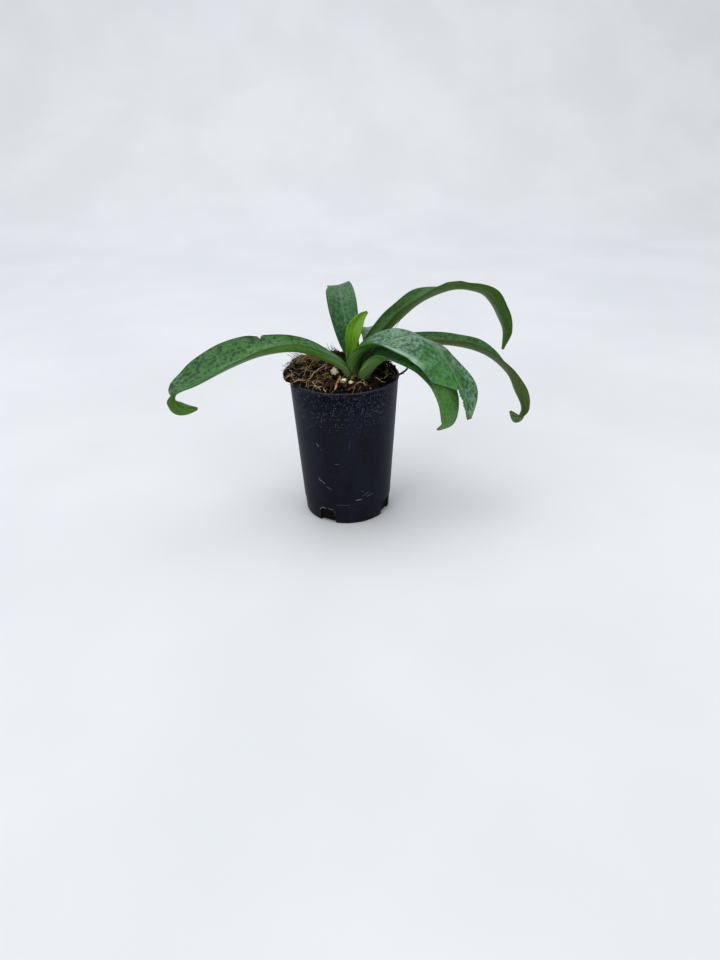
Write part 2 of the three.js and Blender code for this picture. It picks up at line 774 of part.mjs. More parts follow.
const plant = new THREE.Group();
const loose = [];
plant.add(piece('pot', potSolid(), COLOURS.pot, 0.42));
plant.add(piece('bulb', bulbSolid(), COLOURS.bulb, 0.7));
plant.add(piece('roots', rootsSolid(), COLOURS.roots, 0.7));
for (const [name, leaf] of Object.entries(LEAVES)) {
  plant.add(piece(name, leafSolid(leaf), leaf.colour, 0.45));
}
for (const [name, litter] of Object.entries(LITTER)) {
  loose.push([name, litterSolid(litter), litter.colour]);
}
PERLITE.forEach((granule, i) => {
  loose.push([`perlite_${i + 1}`, perliteSolid(granule, PERLITE_SEED + i), COLOURS.perlite]);
});
loose.push(['bark_chunk', barkChunkSolid(), COLOURS.bark]);
loose.push(['twig', twigSolid(), COLOURS.twig]);
for (const [name, solid, colour] of loose) plant.add(piece(name, solid, colour, 0.9));
plant.add(piece('soil', soilSolid(), COLOURS.soil, 0.95));

export default plant;
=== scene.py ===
import math
import random

import bmesh
import bpy
import numpy as np
from mathutils import Matrix, Vector, noise


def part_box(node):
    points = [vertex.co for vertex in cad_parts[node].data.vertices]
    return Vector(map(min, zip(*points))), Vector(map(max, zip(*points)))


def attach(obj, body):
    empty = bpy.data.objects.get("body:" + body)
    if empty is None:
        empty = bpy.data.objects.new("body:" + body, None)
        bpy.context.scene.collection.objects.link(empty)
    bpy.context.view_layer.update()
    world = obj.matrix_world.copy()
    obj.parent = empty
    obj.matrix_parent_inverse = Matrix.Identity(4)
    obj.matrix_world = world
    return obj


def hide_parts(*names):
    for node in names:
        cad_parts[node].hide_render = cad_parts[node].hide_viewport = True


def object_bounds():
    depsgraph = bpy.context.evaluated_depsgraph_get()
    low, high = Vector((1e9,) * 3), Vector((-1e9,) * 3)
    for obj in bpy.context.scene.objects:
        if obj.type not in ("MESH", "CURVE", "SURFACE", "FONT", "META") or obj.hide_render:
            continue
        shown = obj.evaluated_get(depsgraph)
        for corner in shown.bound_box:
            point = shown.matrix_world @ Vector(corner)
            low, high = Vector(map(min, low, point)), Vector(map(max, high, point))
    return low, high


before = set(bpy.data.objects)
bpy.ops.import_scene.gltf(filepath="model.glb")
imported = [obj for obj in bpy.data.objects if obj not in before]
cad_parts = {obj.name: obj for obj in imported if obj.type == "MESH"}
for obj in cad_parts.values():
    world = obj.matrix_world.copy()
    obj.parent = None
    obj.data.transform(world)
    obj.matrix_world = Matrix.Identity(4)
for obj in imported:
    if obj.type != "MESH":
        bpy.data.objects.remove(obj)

CAD_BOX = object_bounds()

# Lengths in this script are in millimetres, as on the object; MM turns them into metres.
MM = 0.001

# Camera at the photograph's place, with its lens.
CAMERA_PLACE = (8.8, -401.4, 240.6)
CAMERA_PITCH = 29.094
CAMERA_ROLL = -1.145
CAMERA_LENS = 24.975

# Pot, from the frame and from the part's own dimensions.
POT_LOW, POT_HIGH = (np.array(corner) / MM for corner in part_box("pot"))
POT_HEIGHT = float(POT_HIGH[2])
RIM_BEAD_OUT = 0.4
RIM_BEAD_DEEP = 1.6
POT_TOP_RADIUS = float(POT_HIGH[0]) - RIM_BEAD_OUT
POT_FOOT_RADIUS = POT_TOP_RADIUS * 0.8324
POT_WALL = 1.0
POT_FLOOR = 1.6
FOOT_BAND_HIGH = 10
FOOT_BAND_BACK = 0.35
POT_SIDES = 224
NOTCH_WIDE = 11
NOTCH_INNER_RADIUS = 25.5
NOTCHES = ((-117, 11), (-27, 9.5), (63, 10), (153, 10))

# Soil surface: a tilted level, two heaps and small waves.
SOIL_LEVEL = 95.2
SOIL_TILT = 0.059
HEAPS = ((-16, 7, 4.5, 11), (30, 8, 1.6, 8))
SPILL_CENTRE = (-4.5, 2.5)
SPILL_RADIUS = 34.2
LUMP_COUNT = 9
LUMP_HIGH = 0.42
LUMP_SEED = 41
RIM_GAP = 0.4
CROWN = (10.5, -1)
SOIL_RINGS = 84
SOIL_SIDES = 220
CHIP_COUNT = 1500
CRUMB_COUNT = 900
SMALL_PERLITE_COUNT = 14

# Leaves.
LEAF_FOOT_Z = 90
STALK_THICK = 2.2
BLADE_THICK = 1.2
MARGIN_THICK = 0.5
LEAF_COLUMNS = 28
ROWS_PER_STATION = 16


def tint(code):
    """Linear colour of an sRGB colour written as #rrggbb."""
    values = [int(code[i:i + 2], 16) / 255 for i in (1, 3, 5)]
    linear = [v / 12.92 if v <= 0.04045 else ((v + 0.055) / 1.055) ** 2.4 for v in values]
    return (*linear, 1.0)


class Paint:
    """A material made by short calls; each call adds a node and returns its output."""

    def __init__(self, name, roughness=0.5, specular=0.5, sheen=0.0):
        self.material = bpy.data.materials.new(name)
        self.material.use_nodes = True
        self.tree = self.material.node_tree
        self.shader = self.tree.nodes["Principled BSDF"]
        self.shader.inputs["Roughness"].default_value = roughness
        self.shader.inputs["Specular IOR Level"].default_value = specular
        self.shader.inputs["Sheen Weight"].default_value = sheen

    def feed(self, socket, value):
        """Join an output to a socket, or set the socket; a colour may be a #rrggbb code."""
        if isinstance(value, bpy.types.NodeSocket):
            self.tree.links.new(value, socket)
        else:
            socket.default_value = tint(value) if isinstance(value, str) else value

    def node(self, kind, inputs=(), output=0, **settings):
        made = self.tree.nodes.new("ShaderNode" + kind)
        for key, value in settings.items():
            setattr(made, key, value)
        for key, value in dict(inputs).items():
            self.feed(made.inputs[key], value)
        return made.outputs[output]

    def attribute(self, name, output="Vector"):
        return self.node("Attribute", output=output, attribute_name=name)

    def place(self):
        """Place on the object, in millimetres."""
        metres = self.node("TexCoord", output="Object")
        return self.stretch(metres, (1 / MM, 1 / MM, 1 / MM))

    def stretch(self, vector, scale):
        return self.node("Mapping", {"Vector": vector, "Scale": scale})

    def noise(self, vector, scale, detail=3.0, roughness=0.5, output=0, distortion=0.0):
        inputs = {
            "Vector": vector,
            "Scale": scale,
            "Detail": detail,
            "Roughness": roughness,
            "Distortion": distortion,
        }
        return self.node("TexNoise", inputs, output)

    def cells(self, vector, scale, output=0, **settings):
        return self.node("TexVoronoi", {"Vector": vector, "Scale": scale}, output, **settings)

    def math(self, operation, *values):
        return self.node("Math", enumerate(values), operation=operation)

    def times(self, first, second):
        return self.math("MULTIPLY", first, second)

    def vector(self, operation, *values, output=0):
        return self.node("VectorMath", enumerate(values), output, operation=operation)

    def fade(self, value, start, end, low=0.0, high=1.0):
        """Smooth step from low at start to high at end."""
        inputs = {"Value": value, "From Min": start, "From Max": end, "To Min": low, "To Max": high}
        return self.node("MapRange", inputs, interpolation_type="SMOOTHSTEP")

    def vary(self, noise_value, low, high):
        """A value that swings with a noise, from low to high."""
        return self.fade(noise_value, 0.3, 0.7, low, high)

    def mix(self, share, first, second, blend="MIX"):
        return self.node("Mix", {0: share, 6: first, 7: second}, 2, data_type="RGBA", blend_type=blend)

    def ramp(self, value, stops):
        made = self.tree.nodes.new("ShaderNodeValToRGB")
        elements = made.color_ramp.elements
        while len(elements) < len(stops):
            elements.new(0.5)
        for element, (where, code) in zip(elements, stops):
            element.position = where
            element.color = tint(code)
        self.feed(made.inputs[0], value)
        return made.outputs[0]

    def axis(self, vector, name):
        return self.node("SeparateXYZ", {0: vector}, name)

    def bump(self, height, strength, distance, after=None):
        inputs = {"Height": height, "Strength": strength, "Distance": distance * MM}
        if after:
            inputs["Normal"] = after
        return self.node("Bump", inputs)

    def finish(self, colour, roughness=None, normal=None):
        self.feed(self.shader.inputs["Base Color"], colour)
        if roughness:
            self.feed(self.shader.inputs["Roughness"], roughness)
        if normal:
            self.feed(self.shader.inputs["Normal"], normal)
        return self.material


def headings(turn):
    """Unit vectors along a heading and to its left."""
    ahead = np.array([math.cos(turn), math.sin(turn), 0])
    return ahead, np.array([-math.sin(turn), math.cos(turn), 0])


def around(radius, turn, *height):
    """Place at a radius and a turn about the pot's axis, with a height where one is given."""
    return (radius * math.cos(turn), radius * math.sin(turn), *height)


def unit(vectors):
    return vectors / np.maximum(np.linalg.norm(vectors, axis=-1, keepdims=True), 1e-9)


def placed(name, data):
    """An object for a mesh, a light or a camera, linked into the scene."""
    made = bpy.data.objects.new(name, data)
    bpy.context.scene.collection.objects.link(made)
    return made


def mesh_of(name, points, faces):
    """A mesh from points in millimetres."""
    mesh = bpy.data.meshes.new(name)
    mesh.from_pydata((np.asarray(points) * MM).tolist(), [], faces)
    return mesh


def piece(name, points, faces, paints, stands_for=(), paint_of=None, marks=None, sharp=None):
    """A mesh piece on the part's one body. Points are in millimetres."""
    mesh = mesh_of(name, points, faces)
    for paint in paints:
        mesh.materials.append(paint)
    if paint_of is not None:
        mesh.polygons.foreach_set("material_index", paint_of)
    for label, values in (marks or {}).items():
        values = np.asarray(values, np.float32)
        kind, key = ("FLOAT", "value") if values.ndim == 1 else ("FLOAT_VECTOR", "vector")
        mesh.attributes.new(label, kind, "POINT").data.foreach_set(key, values.ravel())
    if sharp is not None:
        mesh.shade_smooth()
        mesh.set_sharp_from_angle(angle=math.radians(sharp))
    mesh.update()
    made = placed(name, mesh)
    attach(made, "root")
    if stands_for:
        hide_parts(*stands_for)
    return made


class Bits:
    """Many small closed forms gathered into one piece, each with a tone from 0 to 1."""

    def __init__(self):
        self.points = []
        self.faces = []
        self.tones = []

    def add(self, points, faces, tone):
        first = len(self.tones)
        self.points.extend(np.asarray(points).tolist())
        self.faces.extend([tuple(first + k for k in face) for face in faces])
        self.tones.extend([tone] * len(points))

    def build(self, name, paint, slot, stands_for=(), sharp=None):
        marks = {"tone": self.tones}
        return piece(name, self.points, self.faces, [paint], stands_for, marks=marks, sharp=sharp)


def seeded(seed):
    """The same repeatable draw as the part's own source uses for its soil."""
    state = seed

    def multiply(a, b):
        return (a * b) & 0xFFFFFFFF

    def draw():
        nonlocal state
        state = (state + 0x6D2B79F5) & 0xFFFFFFFF
        t = multiply(state ^ (state >> 15), 1 | state)
        t = ((t + multiply(t ^ (t >> 7), 61 | t)) & 0xFFFFFFFF) ^ t
        return ((t ^ (t >> 14)) & 0xFFFFFFFF) / 4294967296

    return draw


def soil_lumps():
    draw = seeded(LUMP_SEED)
    lumps = []
    for _ in range(LUMP_COUNT):
        direction = draw() * 2 * math.pi
        length = 4.5 + 9 * draw()
        turns = 2 * math.pi / length
        lumps.append((math.cos(direction) * turns, math.sin(direction) * turns, draw() * 2 * math.pi))
    return lumps


LUMPS = soil_lumps()


def soil_height(x, y):
    """Height of the soil's surface, the same formula as in the part's own source."""
    height = SOIL_LEVEL + SOIL_TILT * y
    for heap_x, heap_y, high, spread in HEAPS:
        height += high * math.exp(-((x - heap_x) ** 2 + (y - heap_y) ** 2) / (2 * spread**2))
    for lump_x, lump_y, shift in LUMPS:
        height += LUMP_HIGH * math.sin(lump_x * x + lump_y * y + shift)
    return height


def pot_radius(height):
    """Outer radius of the pot's wall at a height."""
    return POT_FOOT_RADIUS + (POT_TOP_RADIUS - POT_FOOT_RADIUS) * height / POT_HEIGHT


def ring_faces(count, sides, outward=True):
    """Faces of a closed form whose points are an end, rings of so many sides, and an end."""
    last = count - 1
    faces = []
    for k in range(sides):
        following = (k + 1) % sides
        faces.append((0, 1 + following, 1 + k))
        for low in range(1, last - sides, sides):
            high = low + sides
            faces.append((low + k, low + following, high + following, high + k))
        faces.append((last - sides + k, last - sides + following, last))
    return faces if outward else [(face[0], *face[:0:-1]) for face in faces]


def turned(profile, sides):
    """Closed turned form from a profile of radius and height that starts and ends on the axis."""
    points = [(0, 0, profile[0][1])]
    for radius, height in profile[1:-1]:
        for k in range(sides):
            turn = 2 * math.pi * k / sides
            points.append(around(radius, turn, height))
    points.append((0, 0, profile[-1][1]))
    return points, ring_faces(len(points), sides)


def tube(path, radii, sides=6, flat=1.0):
    """Closed tube along a path, with its own radius at each point; flat squashes it upright."""
    path = np.asarray(path, float)
    steps = unit(np.gradient(path, axis=0))
    side = unit(np.cross(steps[0], (0.13, 0.21, 0.97)))
    points = [path[0] - steps[0] * radii[0] * 0.5]
    for centre, step, radius in zip(path, steps, radii):
        side = unit(side - step * (side @ step))
        rise = np.cross(step, side)
        for k in range(sides):
            turn = 2 * math.pi * k / sides
            points.append(centre + radius * (side * math.cos(turn) + rise * math.sin(turn) * flat))
    points.append(path[-1] + steps[-1] * radii[-1] * 0.5)
    return points, ring_faces(len(points), sides)


def smooth_path(corners, count):
    """Evenly counted points on a smooth curve through the corners."""
    corners = np.asarray(corners, float)
    at = np.linspace(0, len(corners) - 1, count)
    return stations_at(corners, at)[0]


def stations_at(stations, at):
    """Smooth curve through rows of values, and its slope, at places counted in rows."""
    rows = np.asarray(stations, float)
    rows = np.vstack([2 * rows[0] - rows[1], rows, 2 * rows[-1] - rows[-2]])
    start = np.minimum(at.astype(int), len(stations) - 2)
    f = (at - start)[:, None]
    a, b, c, d = (rows[start + k] for k in range(4))
    q1, q2, q3 = c - a, 2 * a - 5 * b + 4 * c - d, 3 * b - a - 3 * c + d
    value = 0.5 * (2 * b + q1 * f + q2 * f**2 + q3 * f**3)
    slope = 0.5 * (q1 + 2 * q2 * f + 3 * q3 * f**2)
    return value, slope


# Leaves, each a row of stations from its foot to its tip, the same as in the part's source.
# A station is [reach, drift, height, half width, roll, fold, curl]: reach runs along the
# heading, drift to its left, height up from the foot; roll, fold and curl are in degrees.
LEAVES = {
    "leaf_left": {
        "foot": (2.3, -6.2),
        "heading": 187,
        "stations": [
            [-1, 0, 0.6, 2.6, 0, 0, 70],
            [2, 0, 10, 4.6, 0, 0, 80],
            [14, 0, 18, 7.5, -2, 0, 80],
            [31, 0, 24.5, 9.5, -2, 0, 80],
            [51, 0, 23.5, 12, -12, 10, 55],
            [69, 0, 18.5, 14, -25, 20, 35],
            [87, 0, 10.5, 12.5, -28, 25, 20],
            [101, 0, 4.5, 8, -28, 25, 20],
            [106.3, 0, 0.8, 6, -18, 25, 20],
            [107.7, 0, -3.7, 5.2, 12, 20, 20],
            [105.5, 0, -8, 5, 40, 15, 20],
            [100.5, 0, -10, 3.2, 55, 10, 20],
            [94, 0, -10, 0.8, 60, 0, 10],
        ],
        "wave": 0.35,
    },
    "leaf_back": {
        "foot": (6.5, 10.5),
        "heading": 103,
        "stations": [
            [0, 0, 0, 2.8, 0, 0, 70],
            [1, 0, 10, 4, 0, 0, 60],
            [5, 2.5, 22, 7, 0, 0, 40],
            [14, 3, 36, 9.2, -2, 3, 20],
            [25, 2.5, 46.5, 9.3, -5, 3, 10],
            [38, 0.8, 49.3, 7.2, -8, 4, 8],
            [50, 0, 43, 5.5, -5, 3, 8],
            [58, -1, 33, 0.8, 0, 0, 8],
        ],
        "wave": 0.3,
    },
    "leaf_young": {
        "foot": (4.2, 6),
        "heading": 90,
        "stations": [
            [0, 0, 0, 2.2, 0, 0, 60],
            [0, 0, 10, 2.6, 0, 0, 60],
            [0.5, -1, 21, 4.4, 0, 25, 40],
            [2, -2.6, 30, 5.8, 0, 25, 30],
            [4, -6.3, 36.5, 3.5, 20, 20, 20],
            [6, -11.3, 40.3, 0.8, 30, 0, 10],
        ],
        "wave": 0.15,
    },
    "leaf_arching": {
        "foot": (13, 4.3),
        "heading": 15,
        "stations": [
            [-2, 0, 0, 2.8, 0, 0, 80],
            [-0.5, 0, 12, 5, 0, 0, 80],
            [7, 1, 22, 7.4, 5, 5, 75],
            [21, 1.5, 34, 9.6, 5, 25, 50],
            [36.5, 1, 45.5, 8.8, 0, 22, 40],
            [54.5, 1, 51.5, 7.3, -24, 10, 30],
            [68.5, 1, 51.5, 5.5, -30, 5, 20],
            [82.5, 1, 46.5, 8, -25, 5, 20],
            [92, 1, 35, 7, -20, 5, 20],
            [98, 1, 21, 4.8, -15, 5, 20],
            [97, 1, 8.5, 0.8, -10, 0, 10],
        ],
        "wave": 0.5,
    },
    "leaf_front": {
        "foot": (7.5, -4),
        "heading": -24,
        "stations": [
            [0, 0, 0, 2.8, 0, 0, 80],
            [0, 0, 12, 6.8, 0, 0, 80],
            [6.5, 0, 22, 9.2, 5, 2, 62],
            [20.5, 0, 28.5, 11.2, 10, 4, 30],
            [38.5, 0, 33.5, 14, 18, -36, 5],
            [52.5, 0, 27.5, 15, 20, -32, 5],
            [62.5, 0, 15, 14.5, 25, -25, 5],
            [70, 0.5, 0.5, 13, 35, -15, 5],
            [73.5, 0, -14, 2.5, 45, -10, 5],
        ],
        "wave": 0.3,
    },
    "leaf_right": {
        "foot": (18.5, -0.2),
        "heading": 6,
        "stations": [
            [-2, 0, 0, 2.8, 0, 0, 80],
            [0, 0, 12, 3.4, 0, 0, 80],
            [8.5, -0.9, 22.5, 4.4, 0, 0, 80],
            [30.5, -1.5, 24, 7.5, 5, 5, 60],
            [54.5, -2.3, 21, 8, 5, 10, 50],
            [72.5, -2.3, 14, 8, 6, 10, 40],
            [87, -2.3, 1.5, 7, -6, 10, 30],
            [95.5, -2.3, -13, 6.8, -25, 10, 30],
            [100, -2.3, -25, 5.5, 0, 10, 30],
            [97, -2.3, -32, 4, 60, 10, 20],
            [91.5, -2.3, -27, 0.8, 80, 0, 10],
        ],
        "wave": 0.3,
    },
    "leaf_rear": {
        "foot": (16, 11),
        "heading": 92,
        "stations": [
            [0, 0, 0, 2.5, 0, 0, 70],
            [0.5, -0.5, 12, 3.2, 0, 0, 60],
            [4, -0.5, 22, 4, 0, 0, 40],
            [13, 0, 26.5, 4.8, 0, 0, 20],
            [24, 0.5, 23, 4.4, 0, 0, 20],
            [32, 0, 13, 0.8, 0, 0, 10],
        ],
        "wave": 0.15,
    },
    "leaf_under": {
        "foot": (12.5, -9),
        "heading": -26,
        "stations": [
            [0.5, 0, 1.2, 2.8, 0, 0, 80],
            [3.5, -0.4, 9, 7.6, 0, 0, 75],
            [13, -0.8, 19, 9.6, 5, 5, 60],
            [25, 0.8, 22.5, 9, 15, -8, 20],
            [38.5, 2.5, 20, 9, 18, -25, 5],
            [50, 2.5, 11, 9, 25, -22, 5],
            [56, 1.5, -2, 8, 30, -12, 5],
            [56, 1, -16, 5.5, 35, -8, 5],
            [49.5, 0, -22, 0.8, 40, 0, 5],
        ],
        "wave": 0.25,
    },
}

# How each leaf is coloured: between its spots, in them, where it is silvery, underneath;
# how much of it is silvery, how far apart its spots are, and how large in their cells.
COLOUR_PARTS = ("base", "spot", "silver", "under", "shine", "spacing", "cover")
LEAF_COLOURS = {
    "leaf_left": ("#427c3a", "#123e18", "#6c9670", "#456e12", 0.45, 2.2, 0.37),
    "leaf_back": ("#2b6a34", "#0a3414", "#548460", "#3c6a1c", 0.45, 1.7, 0.42),
    "leaf_young": ("#6aa020", "#548c14", "#8aba3c", "#5c9218", 0.35, 3.5, 0.14),
    "leaf_arching": ("#32661c", "#123f10", "#4c783a", "#395a02", 0.18, 2.2, 0.36),
    "leaf_front": ("#34722a", "#0b3a22", "#789e88", "#3c6812", 0.9, 2.2, 0.4),
    "leaf_right": ("#2f6826", "#0f3a12", "#5c865c", "#425400", 0.28, 2.2, 0.34),
    "leaf_rear": ("#5f7c66", "#2a4c38", "#7c9484", "#3c6418", 0.6, 2.2, 0.4),
    "leaf_under": ("#2c6a22", "#0b3814", "#4a7c4c", "#36660f", 0.3, 2.1, 0.34),
}
DRY_TONE = "#6b5226"


# The front leaf's torn end: the station where the tear leaves the margin, and how much of the
# half width it takes off at each station after that.
TEAR_START = 5.9
TEAR_PACE = 1.05


def leaf_trim(name, at, side):
    """Share of the width that is left where a margin is nicked or torn."""
    share = np.ones(np.broadcast_shapes(at.shape, side.shape))
    if name == "leaf_left":
        nick = 0.2 * np.exp(-(((at - 4.0) / 0.05) ** 2)) + 0.05 * np.exp(-(((at - 4.12) / 0.12) ** 2))
        share = np.where(side < 0, 1 - nick, share)
    if name == "leaf_front":
        jag = 0.035 * np.sin(at * 41) + 0.025 * np.sin(at * 87 + 1)
        torn = np.clip(1 - (at - TEAR_START) * TEAR_PACE + jag * (at > 6.6), 0.14 + jag, 1)
        share = np.where(side > 0, share, torn)
    if name == "leaf_back":
        share = share - 0.1 * np.exp(-(((at - 4.5) / 0.14) ** 2)) * (side > 0)
    return share


def leaf_surface(name, leaf, at, side, draw):
    """Upper face of a leaf as a grid of points, with the distance across at each."""
    value, slope = stations_at(leaf["stations"], at)
    reach, drift, height, half, roll, fold, curl = (value[:, k:k + 1] for k in range(7))
    ahead, left = headings(math.radians(leaf["heading"]))
    up = np.array([0, 0, 1.0])
    along = unit(slope[:, 0:1] * ahead + slope[:, 1:2] * left + slope[:, 2:3] * up)
    across = unit(left - along * (along @ left)[:, None])
    face = np.cross(along, across)
    cos, sin = np.cos(np.radians(roll)), np.sin(np.radians(roll))
    rolled_across = across * cos + face * sin
    rolled_face = face * cos - across * sin
    lift, bend = np.radians(fold), np.maximum(np.radians(curl), 0.02)
    away = np.abs(side)[None, :]
    rows = at[:, None]
    ends = np.sin(np.pi * np.clip(rows / at[-1], 0, 1)) ** 0.5
    wave = np.zeros((len(at), len(side)))
    for direction in (-1, 1):
        for pace in (2.1, 3.7, 6.3):
            swing = np.sin(rows * pace + draw.uniform(0, 6.28)) / pace**0.6
            wave += np.where(side[None, :] * direction > 0, swing, 0) * away**2
    wave *= leaf["wave"] * ends
    width = np.maximum(half, 0.5) * leaf_trim(name, rows, side[None, :])
    run = np.sign(side)[None, :] * width * (np.sin(lift + bend * away) - np.sin(lift)) / bend
    rise = width * (np.cos(lift) - np.cos(lift + bend * away)) / bend + wave
    middle = np.array([*leaf["foot"], LEAF_FOOT_Z]) + reach * ahead + drift * left + height * up
    points = middle[:, None, :] + rolled_across[:, None, :] * run[..., None]
    points += rolled_face[:, None, :] * rise[..., None]
    length = np.concatenate([[0], np.cumsum(np.linalg.norm(np.diff(middle, axis=0), axis=1))])
    return points, length, width * side[None, :]


def leaf_dryness(name, at, side, last):
    """How brown and dry a leaf is: at its tip, and along a torn margin."""
    rows, columns = at[:, None], side[None, :]
    tip = np.clip((rows - (last - 0.28)) / 0.28, 0, 1) + 0 * columns
    if name == "leaf_front":
        near = np.clip((-columns - 0.82) / 0.18, 0, 1)
        patchy = 0.5 + 0.4 * np.sin(rows * 23)
        tip = np.maximum(tip, near * np.clip((rows - 6.8) * 6, 0, 1) * patchy)
    if name == "leaf_left":
        nick = np.exp(-(((rows - 4.03) / 0.08) ** 2)) * np.clip((-columns - 0.85) / 0.15, 0, 1)
        tip = np.maximum(tip * 0.4, nick)
    return tip


def build_leaf(name, leaf):
    last = len(leaf["stations"]) - 1
    at = np.linspace(0, last, last * ROWS_PER_STATION + 1)
    side = np.linspace(-1, 1, LEAF_COLUMNS + 1)
    draw = random.Random(name)
    upper, length, across_at = leaf_surface(name, leaf, at, side, draw)
    normal = unit(np.cross(np.gradient(upper, axis=0), np.gradient(upper, axis=1)))
    share = (at / last)[:, None]
    middle = BLADE_THICK + (STALK_THICK - BLADE_THICK) * (1 - share) ** 3
    margin = MARGIN_THICK + (middle - MARGIN_THICK) * 0.25 * (1 - share)
    thick = margin + (middle - margin) * (1 - side[None, :] ** 2)
    lower = upper - normal * thick[..., None]
    rows, columns = len(at), len(side)
    count = rows * columns
    index = np.arange(count).reshape(rows, columns)
    a, b, c, d = index[:-1, :-1], index[1:, :-1], index[1:, 1:], index[:-1, 1:]
    top = np.stack([a, b, c, d], -1).reshape(-1, 4)
    faces = top.tolist() + (top[:, ::-1] + count).tolist()
    paint_of = [0] * len(top) + [1] * len(top)
    near, far, foot, tip = index[:, 0], index[:, -1], index[0], index[-1]
    for edge, forward in ((near, False), (far, True), (foot, True), (tip, False)):
        for p, q in zip(edge[:-1].tolist(), edge[1:].tolist()):
            face = (p, q, q + count, p + count) if forward else (q, p, p + count, q + count)
            faces.append(face)
            paint_of.append(1)
    sides = np.broadcast_to(side[None, :], (rows, columns))
    lengths = np.broadcast_to(length[:, None], (rows, columns))
    mark = np.stack([lengths, across_at, sides], -1).reshape(-1, 3)
    dry = leaf_dryness(name, at, side, last).ravel()
    marks = {"leaf_at": np.vstack([mark, mark]), "dry": np.concatenate([dry, dry])}
    points = np.vstack([upper.reshape(-1, 3), lower.reshape(-1, 3)])
    points = np.clip(points, np.array(CAD_BOX[0]) / MM, np.array(CAD_BOX[1]) / MM)
    colours = dict(zip(COLOUR_PARTS, LEAF_COLOURS[name]))
    whole = float(length[-1])
    paints = [upper_paint(name, colours, whole), under_paint(name, colours, whole)]
    piece(name + "_blade", points, faces, paints, [name], paint_of, marks, sharp=50)


def leaf_sheet(paint, name):
    """Distance along a leaf laid flat, side from -1 to 1, and the place on it as a vector."""
    at = paint.attribute("leaf_at")
    along, across, side = (paint.axis(at, axis) for axis in "XYZ")
    apart = 40.0 * len(name)
    flat = paint.node("CombineXYZ", {0: paint.math("ADD", along, apart), 1: across, 2: 0.0})
    return along, side, flat


def shade_by(paint, colour, value, low, high):
    """Colour darkened or lightened by a value around one half."""
    grey = paint.vary(value, low, high)
    shade = paint.node("CombineColor", [(k, grey) for k in range(3)])
    return paint.mix(1.0, colour, shade, "MULTIPLY")


